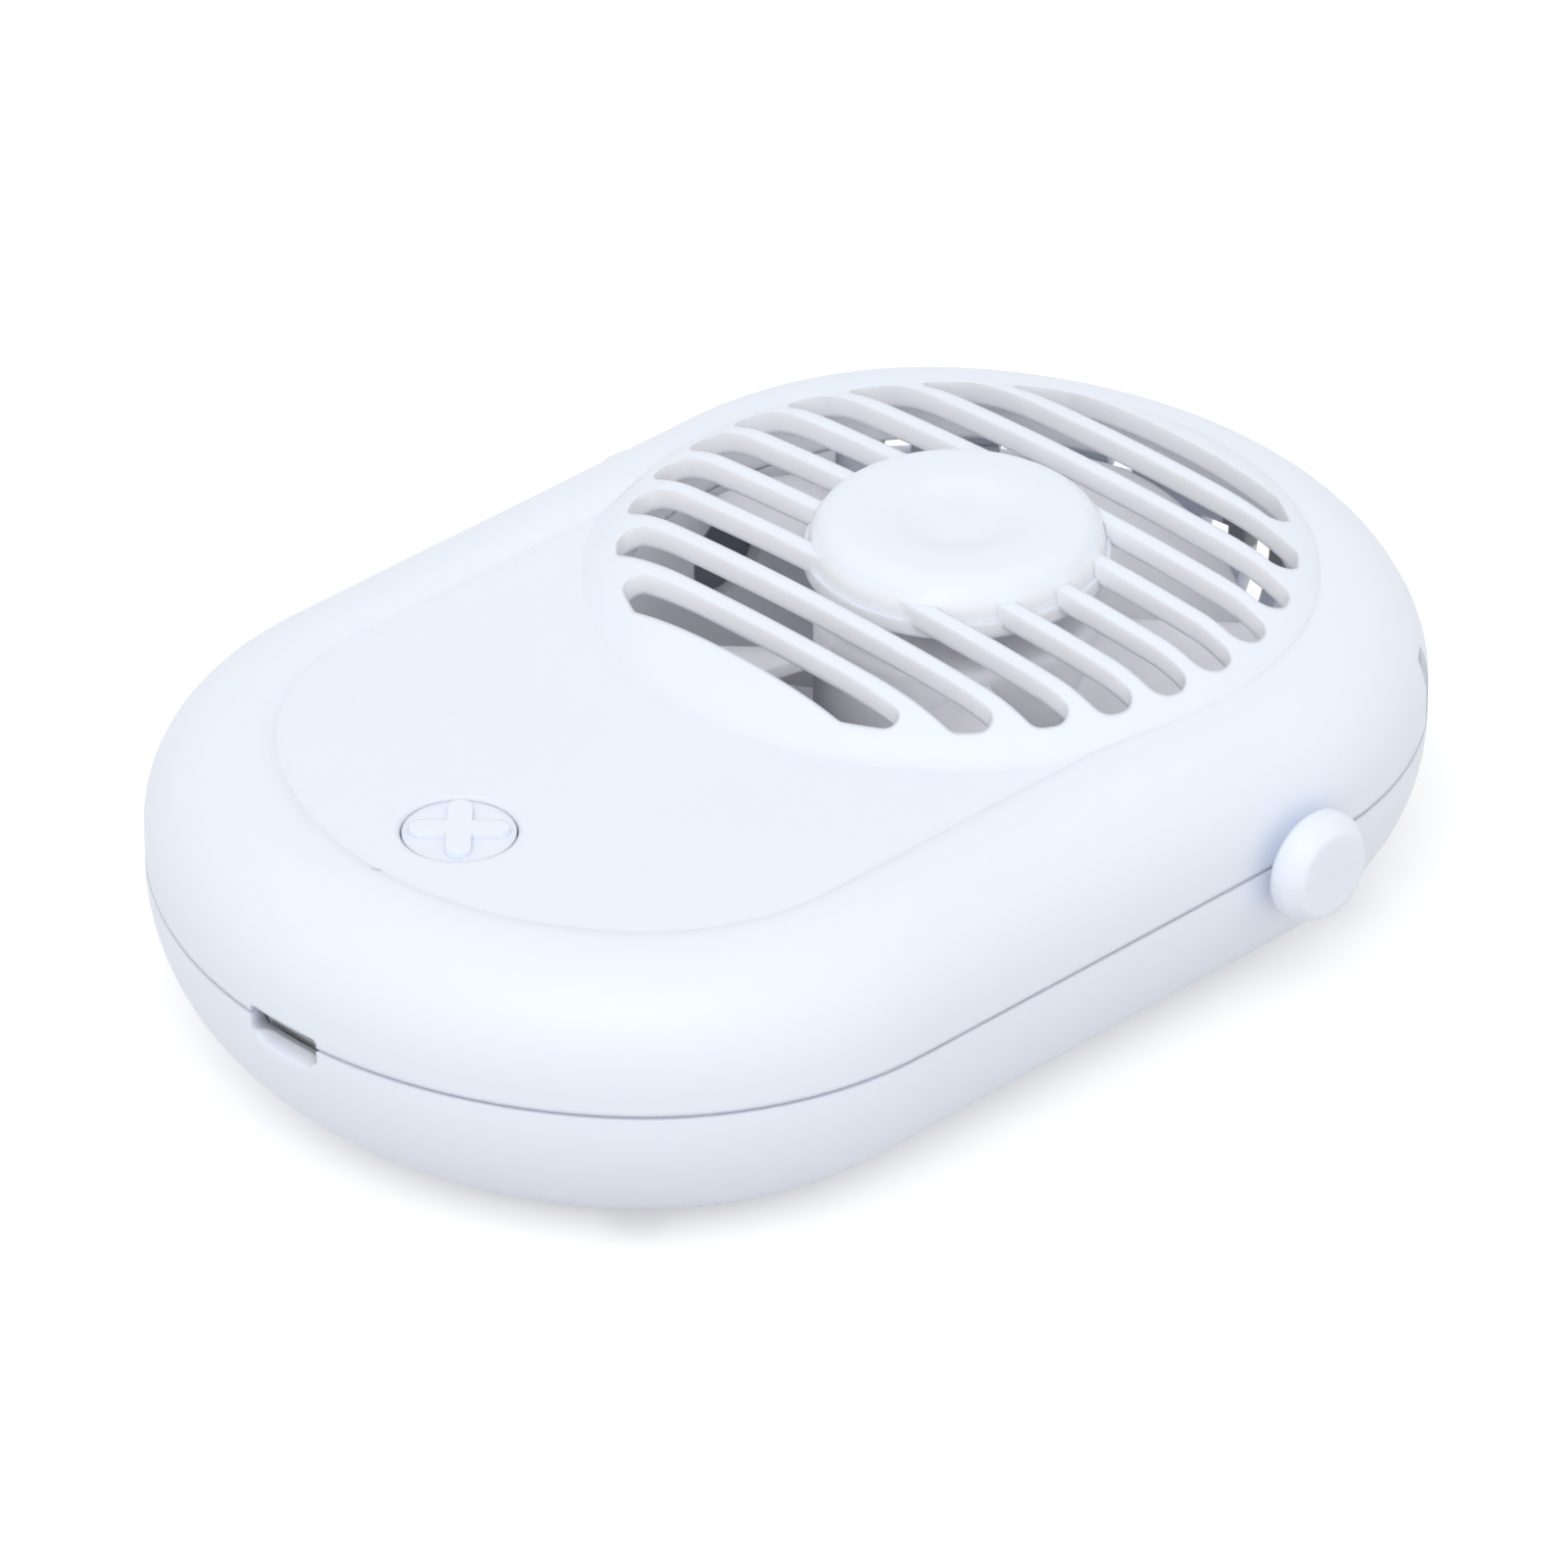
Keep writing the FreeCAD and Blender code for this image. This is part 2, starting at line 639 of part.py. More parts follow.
def make_rear_shell():
    """Rear moulding: rounded bowl with lip, columns, board posts, cell saddles, motor pedestal and vents."""
    outer = bowl("rear_outer", "0", "0", "rear_depth", "rear_depth - rear_land")
    inner = bowl("rear_inner", "wall", "wall", "rear_depth + overrun", "rear_depth - rear_land - wall")
    brim = "rear_depth + lip_height"
    lip = cut("rear_lip", slab("lip_outer", "lip_inset + lip_fit", "rear_depth - wall", brim),
              slab("lip_inner", "wall", "rear_depth - wall - overrun", f"{brim} + overrun"))
    columns = [upright(f"rear_column_{name}", "column_radius", x, y, "0", "rear_depth")
               for name, (x, y) in SCREWS.items()]
    posts = []
    for x in (f"{BOARD_NEAR} + board_post_edge", f"{BOARD_FAR} - board_post_edge"):
        for side in ("", "-"):
            y = f"{side}(board_width / 2 - board_post_edge)"
            posts.append(upright(f"board_post_{len(posts)}", "board_post_radius", x, y, "0", BOARD_LOW))
    saddles = []
    for side in ("", "-"):
        middle = f"{side}saddle_offset"
        saddles.append(block(f"saddle_{len(saddles)}",
                             (f"{CELL_X} - saddle_width / 2", f"{CELL_X} + saddle_width / 2"),
                             (f"{middle} - saddle_thick / 2", f"{middle} + saddle_thick / 2"),
                             ("0", "saddle_rise")))
    pedestal = upright("pedestal", "pedestal_radius", FAN_X, "0", "0", "wall + pedestal_height")
    core = bowl("rear_core", "wall / 2", "wall / 2", "rear_depth", "rear_depth - rear_land - wall / 2")
    inside = common("rear_inside", fuse("rear_bosses", pedestal, *columns, *posts, *saddles), core)
    duct_outer = f"({DUCT} + duct_thick)"
    duct_top = f"{CEILING} - duct_collar - duct_gap"
    duct_wall = turned("duct_wall", FAN, [
        (DUCT, "wall"), (duct_outer, "wall"), (duct_outer, duct_top), (DUCT, duct_top),
    ], gap_angle="duct_open_angle")
    moulding = fuse("rear_moulding", cut("rear_bowl", outer, inner), lip, inside, duct_wall)

    # Holes: cell, lead notch, motor tube, screws, vents, port with its scoop, lanyard posts and slits
    cell = solid("Cylinder", "cell_space", (CELL_X, "cell_length / 2", "cell_height"),
                 turn=((1, 0, 0), 90), Radius="cell_radius", Height="cell_length")
    notch = block("lead_notch",
                  (f"{FAN_X} - {duct_outer} - lead_radius", f"{FAN_X} - {DUCT} + duct_thick"),
                  ("motor_lead_y - 2 * lead_radius", "motor_lead_y + motor_lead_gap + 2 * lead_radius"),
                  ("wall", "wall + 4 * lead_radius"))
    tube = upright("tube_hole", "tube_radius", FAN_X, "0", "wall", "wall + pedestal_height + overrun")
    screw_holes = []
    for name, (x, y) in SCREWS.items():
        screw_holes.append(upright(f"screw_hole_{name}", "screw_radius + screw_fit", x, y,
                                   "0", "rear_depth + overrun"))
        screw_holes.append(upright(f"screw_recess_{name}", "screw_recess_radius", x, y,
                                   "-overrun", "screw_seat"))
    vents = fan_cutter("vents", "vent_count", "vent_pitch", "vent_width", VENT_START,
                       "vent_low", "rear_depth - vent_band")
    scoop_bar = solid("Cylinder", "scoop_bar",
                      ("-body_length / 2 - scoop_out", "scoop_width / 2", "rear_depth + scoop_up"),
                      turn=((1, 0, 0), 90), Radius="scoop_radius", Height="scoop_width")
    scoop = rounded("scoop", scoop_bar, "scoop_round", lambda edge: edge.BoundBox.YLength < size("wall"))
    shell = cut("rear_holes", moulding, cell, notch, tube, vents, scoop, slits, post_bore, post_seat, port,
                *screw_holes)
    sub_part(shell, "rear_shell")


def make_lanyard_posts():
    """Mushroom posts: a flange behind the wall, a neck through it and a soft coned head outside."""
    for label, way in (("lanyard_post_left", 90), ("lanyard_post_right", -90)):
        inside = "body_width / 2 - wall"
        head = "body_width / 2 + post_neck_length"
        face = f"{head} + post_edge + post_cone"
        post = turned(f"{label}_body", (POST_X, "0", "rear_depth"), [
            ("0", f"{inside} - post_flange_thick"), ("post_flange_radius", f"{inside} - post_flange_thick"),
            ("post_flange_radius", inside), ("post_neck_radius", inside), ("post_neck_radius", head),
            ("post_head_radius", head), ("post_head_radius", f"{head} + post_edge"),
            ("post_face_radius", face), ("0", face),
        ])
        post.Placement.Rotation = FreeCAD.Rotation(FreeCAD.Vector(1, 0, 0), -way)
        near_face = size(f"{face} - post_edge / 2")
        sub_part(rounded(f"{label}_soft", post, "post_soft",
                         lambda item: abs(item.CenterOfMass.y) > near_face), label)


def make_button():
    """Push button: disc with a raised cross, a flange that holds it in and a stem down to the switch."""
    face = f"{PANEL} - button_sunk"
    low = f"{CEILING} - button_flange_gap"
    stem = f"{BOARD_TOP} + plunger_top"
    button = turned("button_disc", (BUTTON_X, "0", "0"), [
        ("0", stem), ("button_stem_radius", stem), ("button_stem_radius", f"{low} - button_flange_thick"),
        ("button_flange_radius", f"{low} - button_flange_thick"), ("button_flange_radius", low),
        ("button_radius", low), ("button_radius", face), ("0", face),
    ])
    bars = []
    for turn in (45, -45):
        body = new_body(f"cross_bar_{len(bars)}", (BUTTON_X, "0", "0"))
        body.Placement.Rotation = FreeCAD.Rotation(FreeCAD.Vector(0, 0, 1), turn)
        reach = "(cross_radius - cross_width / 2)"
        plan = profile(body, f"cross_plan_{len(bars)}", "XY_Plane", CEILING, [
            (f"-{reach}", "-cross_width / 2"), (reach, "-cross_width / 2"), ("cross_radius", "0"),
            (reach, "cross_width / 2"), (f"-{reach}", "cross_width / 2"), ("-cross_radius", "0"),
        ], dict.fromkeys((1, 2, 4, 5), "cross_width / 2"))
        pad(body, f"cross_pad_{len(bars)}", plan, "wall - button_sunk + cross_rise")
        bars.append(body)
    sub_part(fuse("button", button, *bars), "power_button")


def make_switch():
    """Push switch on the board: square body with a well, and the plunger that the button presses."""
    half = "switch_side / 2"
    case = block("switch_case", (f"{BUTTON_X} - {half}", f"{BUTTON_X} + {half}"), (f"-{half}", half),
                 (BOARD_TOP, f"{BOARD_TOP} + switch_height"))
    well = upright("switch_well", "plunger_radius + plunger_fit", BUTTON_X, "0",
                   f"{BOARD_TOP} + switch_well", f"{BOARD_TOP} + switch_height + overrun")
    sub_part(cut("switch", case, well), "switch_body")
    plunger = upright("plunger", "plunger_radius", BUTTON_X, "0",
                      f"{BOARD_TOP} + switch_well + plunger_lift", f"{BOARD_TOP} + plunger_top")
    sub_part(plunger, "switch_plunger")


def make_board():
    """Charging board with its chips and coil, the status light and the charging socket."""
    board = block("board", (BOARD_NEAR, BOARD_FAR), ("-board_width / 2", "board_width / 2"),
                  (BOARD_LOW, BOARD_TOP))
    sub_part(board, "main_board")
    chips = []
    for side in ("", "-"):
        middle = f"{side}(board_width / 2 - chip_edge - chip_width / 2)"
        chips.append(block(f"chip_{len(chips)}",
                           (f"{BOARD_FAR} - chip_edge - chip_length", f"{BOARD_FAR} - chip_edge"),
                           (f"{middle} - chip_width / 2", f"{middle} + chip_width / 2"),
                           (BOARD_TOP, f"{BOARD_TOP} + chip_height")))
    coil = upright("choke", "coil_radius", LIGHT_X, "board_width / 2 - chip_edge - coil_radius",
                   BOARD_TOP, f"{BOARD_TOP} + coil_height")
    sub_part(group("components", coil, *chips), "board_components")
    tip = f"{BOARD_TOP} + light_height"
    stem = upright("light_stem", "light_radius", LIGHT_X, "0", BOARD_TOP, tip)
    lens = solid("Sphere", "light_lens", (LIGHT_X, "0", tip), Radius="light_radius")
    sub_part(fuse("light", stem, lens), "status_light")

    mouth = "-body_length / 2 + wall + socket_setback"
    back = f"{mouth} + socket_depth"
    low = BOARD_TOP
    high = f"({BOARD_TOP} + socket_height)"
    case = block("socket_case", (mouth, back), ("-socket_width / 2", "socket_width / 2"), (low, high))
    space = block("socket_space", (f"{mouth} - overrun", f"{back} - socket_sheet"),
                  ("-socket_width / 2 + socket_sheet", "socket_width / 2 - socket_sheet"),
                  (f"{low} + socket_sheet", f"{high} - socket_sheet"))

    def lower(edge):
        box = edge.BoundBox
        return box.YLength == 0 and box.ZLength == 0 and box.ZMax < size("rear_depth")

    shell = cut("socket_shell", rounded("socket_round_case", case, "socket_round", lower),
                rounded("socket_round_space", space, "socket_round - socket_sheet", lower))
    sub_part(shell, "usb_socket")
    sub_part(block("tongue", (f"{mouth} + tongue_setback", f"{back} - socket_sheet"),
                   ("-tongue_width / 2", "tongue_width / 2"),
                   ("rear_depth", "rear_depth + tongue_thick")), "usb_tongue")


def make_cell():
    """Cylindrical cell across the body, with foam pads above, tabs on its ends and leads to the board."""
    def across(name, radius, length):
        return solid("Cylinder", name, (CELL_X, f"{length} / 2", "cell_height"),
                     turn=((1, 0, 0), 90), Radius=radius, Height=length)

    sub_part(across("cell", "cell_radius", "cell_length"), "battery_cell")
    pads = []
    tabs = []
    leads = []
    level = f"{BOARD_TOP} + lead_radius"
    drop = f"{BOARD_FAR} - lead_inset"
    for side, name in (("", "left"), ("-", "right")):
        middle = f"{side}pad_offset"
        pads.append(block(f"pad_{name}", (f"{CELL_X} - pad_width / 2", f"{CELL_X} + pad_width / 2"),
                          (f"{middle} - pad_length / 2", f"{middle} + pad_length / 2"),
                          (f"{CEILING} - pad_depth", CEILING)))
        face = [f"{side}cell_length / 2", f"{side}(cell_length / 2 + tab_thick)"]
        tabs.append(block(f"tab_{name}", (f"{CELL_X} - tab_length / 2", f"{CELL_X} + tab_length / 2"),
                          sorted(face, key=size),
                          ("cell_height - tab_width / 2", "cell_height + tab_width / 2")))
        away = f"{side}(cell_length / 2 + tab_thick + lead_radius)"
        inward = f"{side}(cell_length / 2 + tab_thick + lead_radius - lead_bend)"
        bend = "-lead_bend" if side else "lead_bend"
        leads.append(pipe(f"cell_lead_{name}", ("0", "0", level), "XY_Plane", [
            (CELL_X, away), (f"{drop} + lead_bend", away), (drop, inward),
            (drop, f"{side}(board_width / 2 - lead_overlap)"),
        ], {1: bend}, "YZ_Plane", (CELL_X, away, "0"), "lead_radius"))
    hollow = across("pad_hollow", "cell_radius", "cell_length")
    sub_part(cut("pads", group("pad_blocks", *pads), hollow), "cell_pads")
    sub_part(group("tabs", *tabs), "battery_tabs")
    sub_part(group("cell_leads", *leads), "battery_leads")


def make_motor():
    """Fixed half of the motor: tube and bush, thrust pad, driver board, stator core and windings."""
    floor = "wall"
    seat = "wall + pedestal_height"
    tube_top = "wall + tube_height"
    bush = ring("bush", FAN, "shaft_radius + shaft_fit", "tube_bore", f"{tube_top} - bush_height", tube_top)
    sub_part(ring("tube", FAN, "tube_bore", "tube_radius", floor, tube_top), "bearing_tube")
    sub_part(bush, "bearing_bush")
    sub_part(upright("thrust", "tube_bore", FAN_X, "0", floor, "wall + thrust_thick"), "thrust_pad")
    sub_part(ring("driver", FAN, "tube_radius", "motor_board_radius", seat, f"{seat} + motor_board_thick"),
             "motor_board")

    low = f"({seat} + stator_lift)"
    high = f"({low} + stator_height)"
    yoke = ring("stator_hub", FAN, "tube_radius", "stator_hub_radius", low, high)
    faces = ring("stator_faces", FAN, "stator_face_radius - stator_face_depth", "stator_face_radius",
                 low, high)
    arms = []
    gaps = []
    coils = []
    for i in range(int(size("stator_poles"))):
        arm = new_body(f"stator_arm_{i}", FAN)
        gap = new_body(f"stator_gap_{i}", FAN)
        coil = new_body(f"winding_{i}", FAN)
        for item, share in ((arm, "0"), (gap, "0.5"), (coil, "0")):
            item.setExpression("Placement.Rotation.Angle", bound(f"({i} + {share}) * 360 / stator_poles"))
        wide = "stator_arm_width / 2"
        inner_end = "stator_hub_radius - shaft_radius / 2"
        outer_end = "stator_face_radius - stator_face_depth / 2"
        pad(arm, f"arm_pad_{i}", profile(arm, f"arm_plan_{i}", "XY_Plane", low, [
            (inner_end, f"-{wide}"), (outer_end, f"-{wide}"), (outer_end, wide), (inner_end, wide)]),
            "stator_height")
        out = "stator_face_radius + overrun"
        back = "stator_hub_radius + winding_thick"
        pad(gap, f"gap_pad_{i}", profile(gap, f"gap_plan_{i}", "XY_Plane", f"{low} - overrun", [
            (back, "-stator_slot / 2"), (out, "-stator_slot / 2"),
            (out, "stator_slot / 2"), (back, "stator_slot / 2")]), "stator_height + 2 * overrun")
        side = "(stator_arm_width / 2 + winding_thick)"
        start = "(stator_hub_radius + shaft_fit)"
        stop = "(stator_face_radius - stator_face_depth - shaft_fit)"
        plan = profile(coil, f"winding_plan_{i}", "XY_Plane", f"{low} - winding_thick", [
            (start, f"-{side}"), (stop, f"-{side}"), (stop, side), (start, side)])
        pad(coil, f"winding_pad_{i}", plan, "stator_height + 2 * winding_thick")
        arms.append(arm)
        gaps.append(gap)
        coils.append(coil)
    core = cut("stator", fuse("stator_blank", yoke, faces, *arms), *gaps)
    sub_part(core, "stator_core")
    windings = []
    for i, coil in enumerate(coils):
        windings.append(cut(f"winding_turns_{i}", coil, core))
    sub_part(group("windings", *windings), "stator_coils")
    start = f"{FAN_X} - motor_lead_start"
    end = f"{BOARD_FAR} - motor_lead_inset"
    level = "wall + lead_radius"
    leads = []
    for i in range(2):
        y = f"motor_lead_y + {i} * motor_lead_gap"
        leads.append(pipe(f"motor_lead_{i}", ("0", y, "0"), "XZ_Plane", [
            (start, seat), (start, f"{level} + lead_bend"), (f"{start} - lead_bend", level),
            (f"{end} + lead_bend", level), (end, f"{level} + lead_bend"), (end, BOARD_LOW),
        ], {1: "-lead_bend", 3: "-lead_bend"}, "XY_Plane", (seat, start, "0"), "lead_radius"))
    sub_part(group("leads", *leads), "motor_leads")


def make_rotor():
    """Turning half: shaft, clip, steel yoke with its ring magnet, and the impeller."""
    shaft_low = "wall + thrust_thick + thrust_gap"
    shaft_high = f"({shaft_low} + shaft_length)"
    sub_part(upright("shaft", "shaft_radius", FAN_X, "0", shaft_low, shaft_high), "motor_shaft")
    sub_part(ring("clip", FAN, "shaft_radius", "clip_radius", f"{shaft_low} + clip_lift",
                  f"{shaft_low} + clip_lift + clip_thick"), "shaft_clip")
    magnet_in = "stator_face_radius + air_gap"
    magnet_out = f"{magnet_in} + magnet_thick"
    hub_in = f"({magnet_out} + yoke_thick)"
    hub_out = f"({hub_in} + hub_wall)"
    magnet_low = "hub_base + hub_wall / 2"
    magnet_high = f"({magnet_low} + magnet_height)"
    yoke_high = f"({magnet_high} + yoke_thick)"
    sub_part(ring("magnet", FAN, magnet_in, magnet_out, magnet_low, magnet_high), "ring_magnet")
    sub_part(turned("yoke", FAN, [
        ("hub_boss_radius", magnet_high), (magnet_out, magnet_high), (magnet_out, "hub_base"),
        (hub_in, "hub_base"), (hub_in, yoke_high), ("hub_boss_radius", yoke_high),
    ]), "rotor_yoke")

    top = "hub_base + hub_height"
    hub = turned("hub", FAN, [
        (hub_in, "hub_base"), (hub_out, "hub_base"), (hub_out, f"{top} - hub_round"),
        (f"{hub_out} - hub_round", top), ("0", top), ("0", shaft_high), ("shaft_radius", shaft_high),
        ("shaft_radius", magnet_high), ("hub_boss_radius", magnet_high), ("hub_boss_radius", yoke_high),
        (hub_in, yoke_high),
    ], {2: "hub_round"})
    blade_tip = f"({DUCT} - blade_tip_gap)"
    blades = []
    for i in range(int(size("blade_count"))):
        blade = new_body(f"blade_{i}", FAN)
        blade.setExpression("Placement.Rotation.Angle", bound(f"{i} * 360 / blade_count"))
        ends = []
        for end, plane in (("root", f"{hub_in} - hub_wall"), ("tip", f"{blade_tip} + overrun")):
            half = f"blade_{end}_half"
            rise = f"blade_{end}_rise"
            curve = f"blade_{end}_curve"
            thick = "blade_thick / 2"
            ends.append(profile(blade, f"blade_{end}_{i}", "YZ_Plane", plane, [
                (f"-{half}", f"blade_level - {rise} - {thick}"), (half, f"blade_level + {rise} - {thick}"),
                (half, f"blade_level + {rise} + {thick}"), (f"-{half}", f"blade_level - {rise} + {thick}"),
            ], {0: f"-{curve}", 2: curve}))
        loft = blade.newObject("PartDesign::AdditiveLoft", f"blade_loft_{i}")
        loft.Profile = ends[0]
        loft.Sections = ends[1:]
        loft.Ruled = True
        blades.append(blade)
    sweep = ring("blade_sweep", FAN, f"{hub_in} + hub_wall / 2", blade_tip, "hub_base", top)
    sub_part(fuse("wheel", hub, common("blades", fuse("blade_blanks", *blades), sweep)), "impeller")


def make_screws():
    """Four case screws, driven from the back into the front shell's columns."""
    screws = []
    for name, (x, y) in SCREWS.items():
        shank = upright(f"shank_{name}", "screw_radius", x, y, "screw_seat", "screw_seat + screw_length")
        head = upright(f"head_{name}", "screw_head_radius", x, y,
                       "screw_seat - screw_head_thick", "screw_seat")
        screws.append(fuse(f"screw_{name}", shank, head))
    sub_part(group("screws", *screws), "case_screws")


make_front_shell()
make_rear_shell()
make_lanyard_posts()
make_button()
make_switch()
make_board()
make_cell()
make_motor()
make_rotor()
make_screws()
doc.recompute()

# Check everything, then write one file for each sub-part
faults = [item.Name for item in doc.Objects if "Invalid" in item.State or "Error" in item.State]
faults += [item.Label for item in SUB_PARTS if item.Shape.isNull() or not item.Shape.isValid()]
if faults:
    raise RuntimeError("failed objects: " + ", ".join(faults))
os.makedirs("parts", exist_ok=True)
for item in SUB_PARTS:
    item.Shape.exportStep(os.path.join("parts", f"{item.Label}.step"))
    box = item.Shape.BoundBox
    print(f"{item.Label}: {len(item.Shape.Solids)} solids, {item.Shape.Volume:.1f} mm3, "
          f"x {box.XMin:.2f} {box.XMax:.2f}, y {box.YMin:.2f} {box.YMax:.2f}, "
          f"z {box.ZMin:.2f} {box.ZMax:.2f}")
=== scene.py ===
import math
import bmesh
import bpy
from mathutils import Matrix, Vector


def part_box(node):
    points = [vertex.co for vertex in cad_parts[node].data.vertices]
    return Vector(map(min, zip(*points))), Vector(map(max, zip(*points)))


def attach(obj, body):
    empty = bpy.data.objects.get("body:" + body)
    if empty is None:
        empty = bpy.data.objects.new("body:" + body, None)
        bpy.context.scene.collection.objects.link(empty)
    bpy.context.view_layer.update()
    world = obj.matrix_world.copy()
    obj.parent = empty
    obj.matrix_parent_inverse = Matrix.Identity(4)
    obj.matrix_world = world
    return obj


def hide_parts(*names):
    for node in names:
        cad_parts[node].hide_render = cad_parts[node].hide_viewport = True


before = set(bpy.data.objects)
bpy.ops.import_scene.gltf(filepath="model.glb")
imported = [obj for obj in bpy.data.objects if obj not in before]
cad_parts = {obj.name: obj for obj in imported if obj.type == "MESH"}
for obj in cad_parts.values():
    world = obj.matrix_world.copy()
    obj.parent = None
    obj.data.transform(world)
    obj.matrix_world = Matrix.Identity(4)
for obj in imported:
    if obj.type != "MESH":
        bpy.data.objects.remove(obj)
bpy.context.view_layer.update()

# Rear shell
# Deep white bowl, injection moulded in satin plastic, that carries the motor, the cell and the board.
# The mould's fine spark-eroded grain shows on it, and its edges are a little smoother and paler.
# Inside the fan's duct its colour is painted paler and less blue, as painted light, and the mouth of the
# charging port is painted grey, as painted shade.
shell_white = (0.815, 0.865, 0.98)
shell_satin = 0.36
# Paler, less blue colour, painted as light inside the duct and on the slats' steep walls.
painted_light_white = (0.905, 0.92, 0.975)
# Grey of the painted shade in the charging port's mouth.
port_shade_grey = (0.36, 0.36, 0.37)
duct_axis_x = 0.02
duct_outer = 0.0312
duct_floor = 0.0017
port_inner_x = -0.0577
port_outer_x = -0.0592
port_half_width = 0.00405
port_low_z = 0.0132


class Shade:
    """Output socket in a material: sums on values add Math nodes, and node() adds every other kind."""

    def __init__(self, tree, socket=None):
        self.tree = tree
        self.socket = socket

    def node(self, kind, settings=None, inputs=None, out=0):
        """Any node: its settings come first, then the values or links of its inputs."""
        item = self.tree.nodes.new(f"ShaderNode{kind}")
        for key, value in (settings or {}).items():
            setattr(item, key, value)
        for key, value in (inputs or {}).items():
            if isinstance(value, Shade):
                self.tree.links.new(value.socket, item.inputs[key])
            else:
                item.inputs[key].default_value = value
        return Shade(self.tree, item.outputs[out]) if item.outputs else None

    def math(self, operation, *values):
        return self.node("Math", {"operation": operation}, dict(enumerate(values)))

    def __add__(self, other):
        return self.math("ADD", self, other)

    def __sub__(self, other):
        return self.math("SUBTRACT", self, other)

    def __rsub__(self, other):
        return self.math("SUBTRACT", other, self)

    def __mul__(self, other):
        return self.math("MULTIPLY", self, other)

    __radd__ = __add__
    __rmul__ = __mul__

    def spread(self, low, high):
        """The value stretched so that low becomes 0 and high becomes 1, clamped."""
        return self.node("MapRange", {}, {"Value": self, "From Min": low, "From Max": high})

    def mix(self, first, second):
        """Colour between two others by this value, by socket number, because a Mix node repeats its names."""
        return self.node("Mix", {"data_type": "RGBA"}, {0: self, 6: first, 7: second}, out=2)


def shade(name):
    """Empty material of that name, as a starting point for its nodes."""
    material = bpy.data.materials.new(name)
    material.use_nodes = True
    material.node_tree.nodes.clear()
    return material, Shade(material.node_tree)


def relief(base, rise, strength, depth, normal=None):
    """Normal of a surface that rises by up to the depth, on top of another normal where one is given."""
    inputs = {"Height": rise, "Strength": strength, "Distance": depth}
    if normal:
        inputs["Normal"] = normal
    return base.node("Bump", {}, inputs)


def surface(base, **inputs):
    """Principled surface, given to the material's output."""
    named = {key.replace("_", " "): value for key, value in inputs.items()}
    made = base.node("BsdfPrincipled", {}, named)
    base.node("OutputMaterial", {}, {"Surface": made})


def dress(material, *nodes):
    """Give CAD nodes a finish."""
    for node in nodes:
        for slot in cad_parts[node].material_slots:
            slot.material = material


def tone(colour, level=1.0):
    """Colour with its alpha, made darker or lighter."""
    return (*(channel * level for channel in colour), 1.0)


